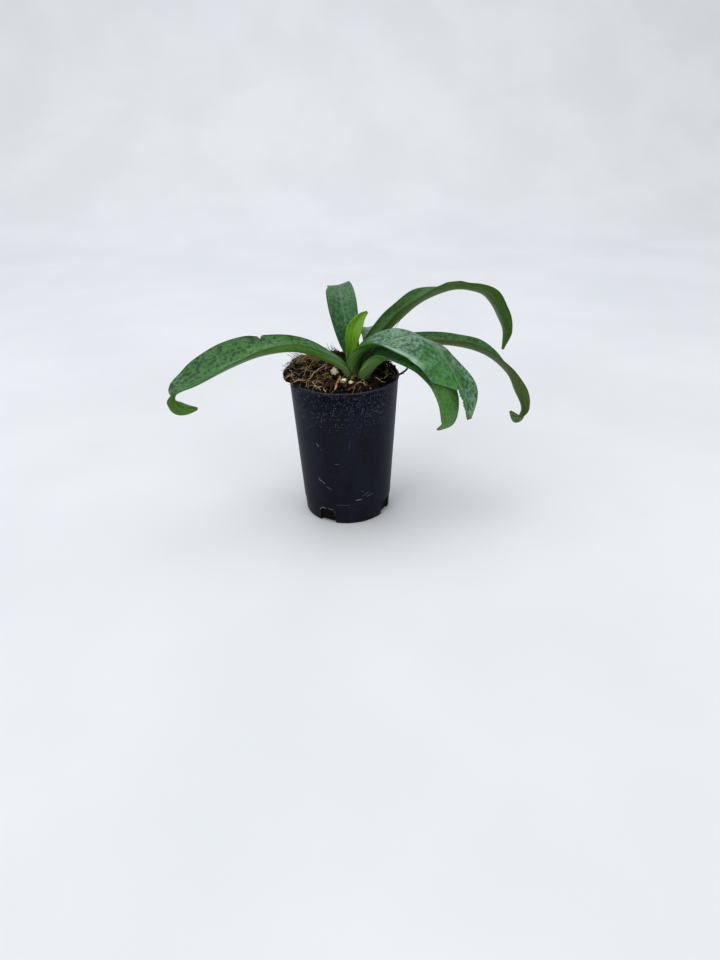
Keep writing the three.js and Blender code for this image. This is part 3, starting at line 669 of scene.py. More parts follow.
def upper_paint(name, colours, length):
    """Spotted upper face: dark spots drawn out along the leaf, a silvery bloom, a pale midrib; a painted
    highlight over the front leaf's arch, and lighter green on the end of the leaf under it, partly painted
    light.
    """
    paint = Paint(name + "_upper", specular=0.33, sheen=0.04)
    along, side, flat = leaf_sheet(paint, name)
    away = paint.math("ABSOLUTE", side)
    warp = paint.vector("SUBTRACT", paint.noise(flat, 0.7, 4, 0.6, output=1), (0.5, 0.5, 0.5))
    warped = paint.vector("MULTIPLY_ADD", warp, (2.2, 1.8, 0.0), flat)
    drawn_out = paint.stretch(warped, (0.72, 1.0, 1.0))
    density = paint.noise(flat, 0.09, 2)
    blade = paint.fade(along, length * 0.13, length * 0.3)
    cover = paint.times(colours["cover"], paint.fade(density, 0.35, 0.65, 0.75, 1.2))
    spots = 0
    for spacing, weight in ((colours["spacing"], 1.0), (colours["spacing"] * 0.55, 0.6)):
        distance = paint.cells(drawn_out, 1 / spacing, voronoi_dimensions="2D")
        chance = paint.cells(drawn_out, 1 / spacing, 1, voronoi_dimensions="2D")
        size = paint.times(cover, paint.fade(paint.axis(chance, "X"), 0.0, 1.0, 0.35, 1.35))
        edge = paint.math("SUBTRACT", size, distance)
        spots = paint.math("MAXIMUM", spots, paint.fade(edge, -0.11, 0.12, 0.0, weight))
    spots = paint.times(spots, blade)
    streaks = paint.noise(paint.stretch(flat, (0.06, 1.9, 1.0)), 1.0, 3)
    mottle = paint.noise(flat, 0.5, 5, 0.6)
    bloom = paint.fade(paint.noise(flat, 0.11, 3), 0.36, 0.66, 0.0, colours["shine"])
    colour = paint.mix(bloom, colours["base"], colours["silver"])
    colour = paint.mix(paint.fade(mottle, 0.4, 0.75, 0.0, 0.5), colour, colours["under"])
    plain = 0.0
    if name == "leaf_front":
        # Painted highlight: a silvery sheen over the crest of the arch, around 0.42 of the leaf's length,
        # where the light falls on top of the leaf.
        arch = paint.math("ABSOLUTE", paint.math("SUBTRACT", along, length * 0.42))
        high = paint.fade(arch, length * 0.2, length * 0.08, 0.0, 0.7)
        painted_arch_sheen = paint.times(high, paint.fade(mottle, 0.3, 0.6))
        colour = paint.mix(painted_arch_sheen, colour, colours["silver"])
        middle = paint.fade(paint.math("ABSOLUTE", paint.math("ADD", side, 0.4)), 0.75, 0.3)
        fresh = paint.times(middle, paint.fade(along, length * 0.48, length * 0.7, 0.0, 0.75))
        colour = paint.mix(fresh, colour, "#347e20")
        plain = paint.times(fresh, 0.3)
    if name == "leaf_under":
        # Lighter green towards the end: partly the leaf's own fresher green, partly painted light that
        # offsets the shade the front leaf above casts on it.
        fresh = paint.fade(along, length * 0.5, length * 0.68, 0.0, 0.85)
        colour = paint.mix(fresh, colour, "#457f26")
        plain = paint.times(fresh, 0.35)
    if name == "leaf_right":
        olive = paint.fade(along, length * 0.6, length * 0.8, 0.0, 0.45)
        colour = paint.mix(olive, colour, "#66791a")
    shown = paint.times(spots, paint.math("SUBTRACT", 0.78, plain))
    colour = paint.mix(shown, colour, colours["spot"])
    rib = paint.fade(away, 0.0, 0.045, 0.65, 0.0)
    colour = paint.mix(paint.times(rib, blade), colour, colours["silver"])
    colour = shade_by(paint, colour, streaks, 0.84, 1.14)
    if name == "leaf_front":
        pale = paint.fade(side, -0.74, -0.88)
        pale = paint.times(pale, paint.fade(along, length * 0.7, length * 0.5, 0.0, 0.75))
        colour = paint.mix(pale, colour, "#9dbca8")
    dark_edge = paint.fade(away, 0.94, 0.985, 0.0, 0.6)
    if name in ("leaf_front", "leaf_under"):
        dark_edge = paint.times(dark_edge, paint.fade(along, length * 0.55, length * 0.45))
    colour = paint.mix(dark_edge, colour, colours["spot"])
    colour = paint.mix(paint.attribute("dry", "Fac"), colour, DRY_TONE)
    grain = paint.noise(flat, 2.6, 3, 0.6)
    roughness = paint.vary(grain, 0.36, 0.52)
    fine = paint.bump(grain, 0.25, 0.12)
    ribs = paint.bump(streaks, 0.5, 0.3, fine)
    return paint.finish(colour, roughness, ribs)


def under_paint(name, colours, length):
    """Plain underside with lengthwise veins, paler at its foot, darker along its margins."""
    paint = Paint(name + "_under", specular=0.28)
    along, side, flat = leaf_sheet(paint, name)
    veins = paint.noise(paint.stretch(flat, (0.05, 1.6, 1.0)), 1.0, 3)
    mottle = paint.noise(flat, 0.14, 4)
    colour = paint.mix(paint.fade(mottle, 0.35, 0.7, 0.0, 0.5), colours["under"], colours["base"])
    blotches = paint.noise(flat, 0.45, 5, 0.65)
    colour = shade_by(paint, colour, blotches, 0.82, 1.14)
    foot = paint.times(paint.fade(along, 34.0, 8.0, 0.0, 0.85), paint.vary(veins, 0.3, 0.8))
    colour = paint.mix(foot, colour, "#86a86c")
    colour = shade_by(paint, colour, veins, 0.76, 1.22)
    away = paint.math("ABSOLUTE", side)
    colour = paint.mix(paint.fade(away, 0.9, 0.97, 0.0, 0.5), colour, colours["spot"])
    colour = paint.mix(paint.attribute("dry", "Fac"), colour, DRY_TONE)
    grain = paint.noise(flat, 2.2, 3, 0.6)
    roughness = paint.vary(grain, 0.38, 0.54)
    fine = paint.bump(grain, 0.2, 0.1)
    return paint.finish(colour, roughness, paint.bump(veins, 0.45, 0.3, fine))


def pot_paint():
    """Near-black navy plastic: mould haze, dust near the rim, fine scuffs and a few scratches."""
    paint = Paint("pot_plastic", specular=0.05)
    at = paint.place()
    x, y, z = (paint.axis(at, axis) for axis in "XYZ")
    turn = paint.math("ARCTAN2", y, x)
    wall = paint.times(turn, POT_TOP_RADIUS)
    unrolled = paint.node("CombineXYZ", {0: wall, 1: z, 2: 0.0})
    haze = paint.noise(paint.stretch(at, (0.07, 0.07, 0.025)), 1.0, 3)
    colour = paint.mix(paint.fade(haze, 0.35, 0.7), "#13141b", "#171927")
    # Darker navy (#020718) in patches on the front of the pot, from 17 mm below the top up to the rim.
    band = paint.fade(z, POT_HEIGHT - 17, POT_HEIGHT - 8)
    front = paint.fade(y, 10.0, -20.0)
    front_patch_noise = paint.noise(at, 0.35, 5, 0.65)
    front_rim_darkening = paint.times(paint.times(band, front), paint.fade(front_patch_noise, 0.42, 0.55))
    colour = paint.mix(paint.times(front_rim_darkening, 0.95), colour, "#020718")
    specks = paint.fade(paint.cells(at, 1.15), 0.34, 0.16)
    sparse = paint.fade(paint.noise(at, 0.5, 4, 0.7), 0.45, 0.6)
    specks = paint.times(specks, sparse)
    high = paint.fade(z, POT_HEIGHT - 34, POT_HEIGHT - 9, 0.12, 1.0)
    specks = paint.times(specks, high)
    colour = paint.mix(paint.times(specks, 0.75), colour, "#7c88a0")
    scuffs = paint.noise(paint.stretch(unrolled, (0.5, 2.4, 1.0)), 1.0, 5, 0.7, distortion=0.8)
    patch = paint.noise(at, 0.06, 2)
    scuffs = paint.times(paint.fade(scuffs, 0.6, 0.72), paint.fade(patch, 0.45, 0.65))
    colour = paint.mix(paint.times(scuffs, 0.16), colour, "#5b5f6c")
    marks = 0
    for row in SCRATCHES:
        marks = paint.math("MAXIMUM", marks, scratch(paint, unrolled, *row))
    broken = paint.fade(paint.noise(unrolled, 2.2, 4, 0.7), 0.4, 0.56, 0.0, 0.9)
    marks = paint.times(marks, broken)
    colour = paint.mix(marks, colour, "#8d9099")
    rim = paint.fade(z, POT_HEIGHT - RIM_BEAD_DEEP + 0.6, POT_HEIGHT)
    colour = paint.mix(paint.times(rim, 0.5), colour, "#44454f")
    soiled = paint.fade(paint.noise(at, 0.8, 4), 0.55, 0.7)
    low_dirt = paint.times(soiled, paint.fade(z, 9.0, 1.0, 0.0, 0.3))
    colour = paint.mix(low_dirt, colour, "#4b443b")
    grain = paint.noise(at, 3.0, 3, 0.6)
    roughness = paint.math("ADD", paint.vary(grain, 0.36, 0.46), paint.times(scuffs, 0.15))
    rough = paint.math("ADD", roughness, paint.times(specks, 0.3))
    orange_peel = paint.bump(paint.noise(at, 0.8, 3), 0.12, 0.2, paint.bump(grain, 0.1, 0.05))
    return paint.finish(colour, rough, orange_peel)


# Scratches on the pot's wall: angle in degrees, height, tilt in degrees, length, width, weight.
SCRATCHES = (
    (-121, 31.5, -24, 7.0, 0.35, 0.9),
    (-112, 27.5, -22, 6.0, 0.3, 0.7),
    (-124, 33.5, -24, 5.0, 0.25, 0.5),
    (-75, 18.5, 3, 6.0, 0.5, 0.9),
    (-66, 22.0, 25, 6.5, 0.3, 0.5),
    (-60, 20.5, 10, 7.0, 0.35, 0.6),
    (-70, 24.5, -30, 4.0, 0.25, 0.4),
    (-122, 58.0, -60, 4.0, 0.5, 0.8),
    (-119, 55.5, -60, 2.0, 0.35, 0.6),
    (-100, 46.0, 2, 5.0, 0.4, 0.35),
    (-85, 60.0, 80, 7.0, 0.3, 0.25),
    (-95, 15.0, 0, 12.0, 0.25, 0.35),
)


def scratch(paint, unrolled, degrees, low, tilt, long, wide, weight):
    """Mask of one straight scratch on the unrolled wall."""
    centre = (math.radians(degrees) * POT_TOP_RADIUS, low, 0.0)
    moved = paint.vector("SUBTRACT", unrolled, centre)
    turning = {"Vector": moved, "Angle": -math.radians(tilt)}
    turned_to = paint.node("VectorRotate", turning, rotation_type="Z_AXIS")
    lengthwise = paint.math("ABSOLUTE", paint.axis(turned_to, "X"))
    crosswise = paint.math("ABSOLUTE", paint.axis(turned_to, "Y"))
    inside = paint.fade(lengthwise, long / 2, long / 2 - 1.5)
    thin = paint.fade(crosswise, wide, wide * 0.3)
    return paint.times(paint.times(inside, thin), weight)


def pot_profile():
    bead_bottom = POT_HEIGHT - RIM_BEAD_DEEP
    bead = POT_TOP_RADIUS + RIM_BEAD_OUT
    inner = pot_radius(POT_HEIGHT) - POT_WALL
    foot = POT_FOOT_RADIUS - FOOT_BAND_BACK
    profile = [(0, 0), (foot - 6, 0), (foot - 0.9, 0), (foot - 0.25, 0.25), (foot, 0.9)]
    profile += [
        (pot_radius(FOOT_BAND_HIGH) - FOOT_BAND_BACK, FOOT_BAND_HIGH),
        (pot_radius(FOOT_BAND_HIGH), FOOT_BAND_HIGH + 0.35),
    ]
    for share in (0.25, 0.5, 0.75):
        height = FOOT_BAND_HIGH + (bead_bottom - FOOT_BAND_HIGH) * share
        profile.append((pot_radius(height), height))
    profile += [
        (pot_radius(bead_bottom), bead_bottom),
        (bead - 0.1, bead_bottom + 0.35),
        (bead, bead_bottom + 0.7),
        (bead, POT_HEIGHT - 0.45),
        (bead - 0.15, POT_HEIGHT - 0.12),
        (bead - 0.5, POT_HEIGHT),
        (inner + 0.35, POT_HEIGHT),
        (inner + 0.08, POT_HEIGHT - 0.2),
        (inner, POT_HEIGHT - 0.6),
        (pot_radius(POT_FLOOR) - POT_WALL, POT_FLOOR),
        (0, POT_FLOOR),
    ]
    return profile


def notch_cutter(angle, high, draw):
    """Upright tongue with rounded top corners and a slightly uneven edge, through the foot."""
    half = NOTCH_WIDE / 2
    corner = 2.5
    outline = [(-half, -1), (half, -1)]
    for centre, quarter in ((half - corner, 0), (corner - half, 1)):
        for k in range(7):
            turn = math.pi / 2 * (quarter + k / 6)
            x, z = around(corner, turn)
            outline.append((centre + x, high - corner + z))
    outline = [(x + draw.uniform(-0.12, 0.12), z + draw.uniform(-0.12, 0.12)) for x, z in outline]
    out, side = (Vector(way) for way in headings(math.radians(angle)))
    count = len(outline)
    points = []
    for radius in (NOTCH_INNER_RADIUS, NOTCH_INNER_RADIUS + 8):
        points += [out * radius + side * x + Vector((0, 0, z)) for x, z in outline]
    faces = [tuple(reversed(range(count))), tuple(range(count, 2 * count))]
    for k in range(count):
        following = (k + 1) % count
        faces.append((k, following, following + count, k + count))
    return [tuple(p) for p in points], faces


def build_pot():
    paint = pot_paint()
    points, faces = turned(pot_profile(), POT_SIDES)
    pot = piece("pot_shell", points, faces, [paint], ["pot"])
    draw = random.Random(3)
    for angle, high in NOTCHES:
        mesh = mesh_of("notch", *notch_cutter(angle, high, draw))
        cutter = placed("notch", mesh)
        boolean = pot.modifiers.new("notch", "BOOLEAN")
        boolean.operation = "DIFFERENCE"
        boolean.solver = "EXACT"
        boolean.object = cutter
        bpy.context.view_layer.update()
        cut = bpy.data.meshes.new_from_object(pot.evaluated_get(bpy.context.evaluated_depsgraph_get()))
        pot.modifiers.clear()
        pot.data = cut
        bpy.data.objects.remove(cutter)
        bpy.data.meshes.remove(mesh)
    pot.data.shade_smooth()
    pot.data.set_sharp_from_angle(angle=math.radians(40))


def build_flash():
    """Ragged pale flash that the mould left on the edge of the front left notch."""
    angle, high = NOTCHES[0]
    half = NOTCH_WIDE / 2
    draw = random.Random(12)
    edge = [(-half, high - 2.2), (-half + 1.2, high - 0.4), (-2, high), (1.5, high)]
    edge += [(half - 1, high - 0.6), (half, high - 2.6), (half, high - 5)]
    run = smooth_path([(x, z, 0) for x, z in edge], 60)
    out, side = headings(math.radians(angle))
    bits = Bits()
    for k in range(0, len(run) - 4, 3):
        path = []
        for x, z, _ in run[k:k + 5]:
            radius = math.sqrt(max(pot_radius(z) ** 2 - x**2, 1)) - 0.15
            path.append(out * radius + side * (x * 0.985) + np.array([0, 0, z - 0.12]))
        path = np.array(path) + [[draw.uniform(-0.12, 0.12) for _ in range(3)] for _ in path]
        share = k / len(run)
        thick = 0.34 * (1 - share) ** 1.5 + 0.06
        radii = [draw.uniform(0.3, 1.1) * thick for _ in path]
        if draw.random() < 0.85 - 0.4 * share:
            bits.add(*tube(path, radii, 5), draw.random())
    paint = Paint("flash_plastic", roughness=0.55)
    tone = paint.attribute("tone", "Fac")
    grain = paint.noise(paint.place(), 2.5, 3)
    stops = [(0.0, "#26272f"), (0.25, "#6f7078"), (0.6, "#b9b7b2")]
    colour = paint.ramp(paint.times(tone, grain), stops)
    bits.build("pot_flash", paint.finish(colour, None, paint.bump(grain, 0.3, 0.1)), "pot", sharp=40)


def soil_edge(turn):
    """Radius of the soil's edge: inside the wall, or out over the rim where it is heaped."""
    inside = pot_radius(POT_HEIGHT) - POT_WALL - 0.25
    above = soil_height(*around(inside, turn)) - POT_HEIGHT - RIM_GAP
    out_x, out_y = SPILL_CENTRE
    along = out_x * math.cos(turn) + out_y * math.sin(turn)
    apart = out_x**2 + out_y**2 - along**2
    spill = along + math.sqrt(SPILL_RADIUS**2 - apart)
    share = min(max((above + 0.3) / 1.2, 0), 1)
    return inside + max(spill - inside, 0) * share * share * (3 - 2 * share)


def rough_height(x, y):
    """Fine crumbly relief on top of the soil's smooth surface."""
    coarse = noise.noise(Vector((x * 0.45, y * 0.45, 3.1)))
    fine = noise.noise(Vector((x * 1.3, y * 1.3, 7.7)))
    return 0.75 * coarse + 0.45 * fine


def build_soil():
    sides = SOIL_SIDES
    points = [(0, 0, soil_height(0, 0))]
    for ring in range(1, SOIL_RINGS + 1):
        for k in range(sides):
            turn = 2 * math.pi * (k + 0.5 * (ring % 2)) / sides
            radius = soil_edge(turn) * (ring / SOIL_RINGS) ** 0.8
            x, y = around(radius, turn)
            drop = 0.7 * max(0, 1 - edge_room(x, y) / 2.5)
            points.append((x, y, soil_height(x, y) + rough_height(x, y) - 0.35 - drop))
    for heaped in (True, False):
        for k in range(sides):
            turn = 2 * math.pi * k / sides
            radius = soil_edge(turn) if heaped else pot_radius(POT_HEIGHT) - POT_WALL - 0.3
            top = soil_height(*around(radius, turn)) - 0.8
            points.append(around(radius, turn, min(POT_HEIGHT + RIM_GAP, top)))
    foot = pot_radius(POT_FLOOR) - POT_WALL - 0.4
    for k in range(sides):
        turn = 2 * math.pi * k / sides
        points.append(around(foot, turn, POT_FLOOR + 0.4))
    points.append((0, 0, POT_FLOOR + 0.4))
    faces = ring_faces(len(points), sides, outward=False)
    paint = Paint("soil_mix", roughness=0.95, specular=0.2)
    at = paint.place()
    grain = paint.noise(at, 0.9, 5, 0.7)
    colour = paint.ramp(grain, [(0.35, "#040302"), (0.52, "#110b07"), (0.66, "#1c140e"), (0.8, "#2e2318")])
    # Painted shade: the soil turns near-black from 85 mm down to 55 mm, standing for the dark inside of
    # the pot that shows through the notches.
    deep = paint.fade(paint.axis(at, "Z"), 55.0, 85.0)
    colour = paint.mix(deep, "#020101", colour)
    normal = paint.bump(paint.noise(at, 2.0, 4, 0.7), 0.8, 0.5)
    rough = paint.vary(grain, 0.85, 0.98)
    piece("soil_fill", points, faces, [paint.finish(colour, rough, normal)], ["soil"], sharp=80)


def random_turn(draw, lean=math.pi):
    """Random rotation: any turn about upright, then a lean of at most the given angle."""
    spin = Matrix.Rotation(draw.uniform(0, 2 * math.pi), 3, "Z")
    axis = Vector((draw.gauss(0, 1), draw.gauss(0, 1), 0.01)).normalized()
    return np.array(Matrix.Rotation(draw.uniform(-lean, lean), 3, axis) @ spin)


def flake(draw, long, wide, deep):
    """Closed flat chip with an uneven outline, centred on the origin."""
    count = draw.randint(5, 8)
    outline = []
    for k in range(count):
        turn = 2 * math.pi * (k + draw.uniform(-0.25, 0.25)) / count
        reach = draw.uniform(0.75, 1.1)
        outline.append((0.5 * long * reach * math.cos(turn), 0.5 * wide * reach * math.sin(turn)))
    points = [(x, y, -deep / 2 + draw.uniform(-0.15, 0.15) * deep) for x, y in outline]
    points += [(x * 1.03, y * 1.03, deep * draw.uniform(0.05, 0.3)) for x, y in outline]
    points += [(x * 0.8, y * 0.8, deep / 2 + draw.uniform(-0.2, 0.2) * deep) for x, y in outline]
    faces = [tuple(reversed(range(count)))]
    for low in (0, count):
        for k in range(count):
            following = (k + 1) % count
            faces.append((low + k, low + following, low + following + count, low + k + count))
    top = 2 * count
    faces += [(top, top + k, top + k + 1) for k in range(1, count - 1)]
    return np.array(points), faces


def ball(subdivisions):
    """Points and faces of a unit sphere of triangles."""
    form = bmesh.new()
    bmesh.ops.create_icosphere(form, subdivisions=subdivisions, radius=1)
    points = np.array([v.co[:] for v in form.verts])
    faces = [tuple(v.index for v in face.verts) for face in form.faces]
    form.free()
    return points, faces


def lump(draw, template, size, rough=0.25):
    """Uneven closed grain from a sphere of triangles; size is its three half widths."""
    points, faces = template
    shift = Vector([draw.uniform(0, 50) for _ in range(3)])
    reach = [1 + rough * 2 * noise.noise(Vector(p) * 1.6 + shift) for p in points.tolist()]
    return points * np.array(reach)[:, None] * np.array(size), faces


def on_soil(draw, radius=1.0):
    """Random place on the soil's surface."""
    turn = draw.uniform(0, 2 * math.pi)
    reach = soil_edge(turn) * math.sqrt(draw.random()) * radius
    return around(reach, turn)


def near_crown(x, y, room):
    return math.hypot(x - CROWN[0], y - CROWN[1]) < room


def edge_room(x, y):
    """Distance from a place on the soil to its edge."""
    return soil_edge(math.atan2(y, x)) - math.hypot(x, y)


def grain_paint(name, stops, roughness=0.9, bump=0.6, scale=1.4, drawn=(1, 1, 1), spread=0.22):
    """Colour by each bit's tone and a fine grain."""
    paint = Paint(name, roughness=roughness, specular=0.25)
    at = paint.stretch(paint.place(), drawn)
    grain = paint.noise(at, scale, 4, 0.65)
    tone = paint.attribute("tone", "Fac")
    mixed = paint.math("ADD", tone, paint.fade(grain, 0.25, 0.75, -spread, spread))
    rough = paint.vary(grain, roughness - 0.12, roughness + 0.06)
    return paint.finish(paint.ramp(mixed, stops), rough, paint.bump(grain, bump, 0.25))


def build_chips():
    """Bark chips and crumbs that cover the soil."""
    draw = random.Random(17)
    bits = Bits()
    sphere = ball(1)
    for _ in range(CHIP_COUNT):
        x, y = on_soil(draw)
        size = 0.5 + 2.4 * draw.random() ** 2.4
        room = edge_room(x, y)
        if near_crown(x, y, 6 + size) or size > 1.1 + 0.2 * room or room < 0.45 * size:
            continue
        deep = size * draw.uniform(0.25, 0.6)
        long = size * draw.uniform(1.2, 2.6)
        points, faces = flake(draw, long, size, deep)
        turned_to = points @ random_turn(draw, 0.4 if room < 3 else 0.65).T
        lift = draw.uniform(-0.1, 0.9) * size * 0.5
        turned_to += [x, y, soil_height(x, y) + rough_height(x, y) * 0.6 + lift * 0.6]
        turned_to[:, 2] = np.maximum(turned_to[:, 2], POT_HEIGHT + RIM_GAP)
        bits.add(turned_to, faces, draw.random() ** 2.6 * 0.9)
    for _ in range(CRUMB_COUNT):
        x, y = on_soil(draw)
        size = draw.uniform(0.3, 0.9)
        if near_crown(x, y, 6.5) or edge_room(x, y) < 0.8:
            continue
        points, faces = lump(draw, sphere, [size * draw.uniform(0.6, 1.2) for _ in range(3)], 0.4)
        points = points + [x, y, soil_height(x, y) + draw.uniform(-0.2, 0.7)]
        bits.add(points, faces, draw.random() ** 3 * 0.85)
    stops = [(0.0, "#020101"), (0.4, "#0b0704"), (0.64, "#23170f"), (0.82, "#5e442a"), (1.0, "#b0946a")]
    bits.build("soil_chips", grain_paint("bark_chips", stops), "soil", sharp=35)


def fibre_path(draw, x, y, turn, long, count, lift):
    """Wandering path that keeps to the soil and arches a little off it."""
    path = []
    bend = draw.gauss(0, 0.03)
    arch = draw.uniform(0.2, 1.0) * lift
    step = long / (count - 1)
    for k in range(count):
        share = k / (count - 1)
        high = soil_height(x, y) + 0.9 + arch * math.sin(math.pi * share) + 0.2 * draw.random()
        path.append((x, y, high))
        turn += bend * step + draw.gauss(0, 0.07)
        x += step * math.cos(turn)
        y += step * math.sin(turn)
    return path


# Sorts of fibre: count, least and greatest radius, least and greatest length, lift off the soil,
# and how many of them are tan at the left and at the right.
FIBRE_SORTS = (
    (700, 0.07, 0.15, 4, 13, 1.6, 0.46, 0.22),
    (46, 0.13, 0.23, 7, 18, 1.8, 0.9, 0.45),
)
FRINGE_COUNT = 20
LEFT_PART = -6


def build_fibres():
    """Dry roots and bark fibres, densest at the left and front, some of them over the left edge."""
    draw = random.Random(23)
    tan, dark = Bits(), Bits()
    for count, thin, thick, short, far, lift, left_share, right_share in FIBRE_SORTS:
        for _ in range(count):
            x, y = on_soil(draw, 0.94)
            if near_crown(x, y, 8) or (x > 8 and draw.random() < 0.45):
                continue
            turn = math.radians(draw.gauss(-130, 55)) if x < 5 else draw.uniform(0, 2 * math.pi)
            path = fibre_path(draw, x, y, turn, draw.uniform(short, far), 9, lift)
            path = [p for p in path if edge_room(p[0], p[1]) > 0.3 and not near_crown(p[0], p[1], 7)]
            if len(path) < 4:
                continue
            radius = draw.uniform(thin, thick)
            count_at = len(path)
            taper = [radius * (1 - 0.6 * i / count_at) for i in range(count_at)]
            radii = [width * draw.uniform(0.85, 1.15) for width in taper]
            share = left_share if x < LEFT_PART else right_share
            target = tan if draw.random() < share else dark
            target.add(*tube(path, radii, 5), draw.random() ** 0.8)
    for _ in range(FRINGE_COUNT):
        place = math.radians(draw.uniform(150, 222))
        edge = soil_edge(place)
        inner = edge - draw.uniform(3, 8)
        outer = edge + draw.uniform(0.2, 2.4)
        skew = draw.gauss(0, 0.12)
        path = []
        for k in range(7):
            share = k / 6
            reach = inner + (outer - inner) * share
            x, y = around(reach, place + skew * share)
            high = soil_height(x, y) + 1.3 + draw.uniform(-0.2, 0.3) - 0.5 * share * share
            path.append((x, y, high))
        radius = draw.uniform(0.1, 0.24)
        tan.add(*tube(path, [radius * (1 - 0.5 * k / 6) for k in range(7)], 5), draw.uniform(0.3, 1))
    tan_stops = [(0.0, "#2c1f13"), (0.4, "#6d5334"), (0.75, "#b89a70"), (1.0, "#efdfbc")]
    dark_stops = [(0.0, "#080403"), (0.5, "#26180f"), (1.0, "#5c3f28")]
    drawn = (0.7, 0.7, 1.0)
    tan_paint = grain_paint("fibre_tan", tan_stops, drawn=drawn)
    tan.build("fibres_tan", tan_paint, "strand", sharp=60)
    dark_paint = grain_paint("fibre_dark", dark_stops, drawn=drawn)
    dark.build("fibres_dark", dark_paint, "strand_dark", sharp=60)


# Strands that lie on the soil, on the same paths as in the part's source:
# radius, path, slot, and tones from dark to light.
LITTER = {
    "root_strand_long": (
        0.6, [(-9, 8), (-13, 0), (-17, -6), (-22, -14), (-27, -18), (-30.5, -18.5)],
        "strand", ("#86683f", "#c2a172", "#ead6aa"),
    ),
    "root_strand_mid": (
        0.5, [(-6, 1), (-12, -3.5), (-16.2, -5.2)],
        "strand_dark", ("#3a2717", "#745638", "#a08056"),
    ),
    "root_strand_left": (
        0.5, [(-33, -8), (-30.5, -13), (-29, -15.5)],
        "strand", ("#7a6450", "#bca487", "#e2d2b6"),
    ),
    "root_strand_front": (
        0.5, [(-19, -18), (-16, -23), (-13, -26), (-10, -30)],
        "strand", ("#84694a", "#c2a884", "#ead9b8"),
    ),
    "root_strand_red": (
        0.6, [(11, -16.5), (7, -22), (3.5, -28), (2.5, -31.5)],
        "strand_dark", ("#4a2a17", "#8a5632", "#b57c4c"),
    ),
    "bark_strip": (
        0.9, [(-2, -11), (-3, -18), (-4.2, -25), (-4.8, -31)],
        "bark_strip", ("#6b4a28", "#a67c4c", "#cda06a"),
    ),
}


def wandering(path, scale, shift, apart, amount):
    """Path pushed about by noise, read a set distance apart for each axis."""
    pushes = []
    for point in path.tolist():
        at = Vector(point) * scale + shift
        pushes.append([noise.noise(at + Vector((apart * k, 0, 0))) for k in range(3)])
    return path + np.array(pushes) * amount


def build_litter():
    draw = random.Random(31)
    for name, (radius, corners, slot, codes) in LITTER.items():
        lifted = [(x, y, soil_height(x, y) + radius + 0.8) for x, y in corners]
        path = smooth_path(lifted, 34)
        wobble = Vector([draw.uniform(0, 40) for _ in range(3)])
        path = wandering(path, 0.35, wobble, 9, [0.5, 0.5, 0.35])
        flat = 0.42 if name == "bark_strip" else 0.9
        swell = [1 + 0.35 * noise.noise(Vector(p) * 0.9) for p in path.tolist()]
        ends = np.clip(np.minimum(np.arange(34), np.arange(33, -1, -1)) / 2.0, 0.35, 1)
        radii = radius * 0.75 * np.linspace(1.0, 0.72, 34) * np.array(swell) * ends
        points, faces = tube(path, radii, 9, flat)
        paint = Paint(name + "_skin", roughness=0.85, specular=0.25)
        grain = paint.noise(paint.stretch(paint.place(), (2.2, 0.8, 2.2)), 0.9, 4, 0.65)
        colour = paint.ramp(grain, list(zip((0.32, 0.5, 0.68), codes)))
        normal = paint.bump(grain, 0.7, 0.3)
        rough = paint.vary(grain, 0.75, 0.92)
        piece(name + "_fine", points, faces, [paint.finish(colour, rough, normal)], [name], sharp=60)


# Perlite granules: x, y, radius and height-to-width; the first is a little larger than in the
# part's source.
PERLITE = ((-5.5, -8, 2.5, 1.1), (0, -15.5, 2.2, 0.75), (4.5, -17.5, 1.6, 0.75))


def perlite_paint(name, light, shade):
    paint = Paint(name, roughness=0.85, specular=0.3)
    at = paint.place()
    pores = paint.cells(at, 1.7)
    dust = paint.noise(at, 0.8, 4)
    colour = paint.mix(paint.fade(pores, 0.12, 0.4), shade, light)
    colour = paint.mix(paint.fade(dust, 0.55, 0.75, 0.0, 0.5), colour, "#a39a6e")
    return paint.finish(colour, paint.vary(dust, 0.75, 0.92), paint.bump(pores, 0.6, 0.35))


def build_perlite():
    draw = random.Random(44)
    sphere = ball(3)
    shades = (("#e2d8bc", "#a89a72"), ("#f4ecd2", "#cbbf90"), ("#dfe3a8", "#93a45a"))
    for k, (x, y, radius, tall) in enumerate(PERLITE):
        size = [radius * 0.95, radius * 0.92, radius * 0.95 * tall]
        points, faces = lump(draw, sphere, size, 0.22)
        points = points + [x, y, soil_height(x, y) + radius * tall * 0.5 + 0.4]
        name = f"perlite_{k + 1}"
        paint = perlite_paint(name + "_skin", *shades[k])
        piece(name + "_fine", points, faces, [paint], [name], sharp=60)
    crumbs = Bits()
    small = ball(2)
    for _ in range(SMALL_PERLITE_COUNT):
        x, y = on_soil(draw, 0.9)
        if near_crown(x, y, 6):
            continue
        size = draw.uniform(0.35, 0.8)
        points, faces = lump(draw, small, [size] * 3, 0.3)
        crumbs.add(points + [x, y, soil_height(x, y) + 0.5], faces, draw.random())
    small_paint = perlite_paint("perlite_small", "#d8d3bd", "#98907a")
    crumbs.build("perlite_crumbs", small_paint, "perlite", sharp=60)


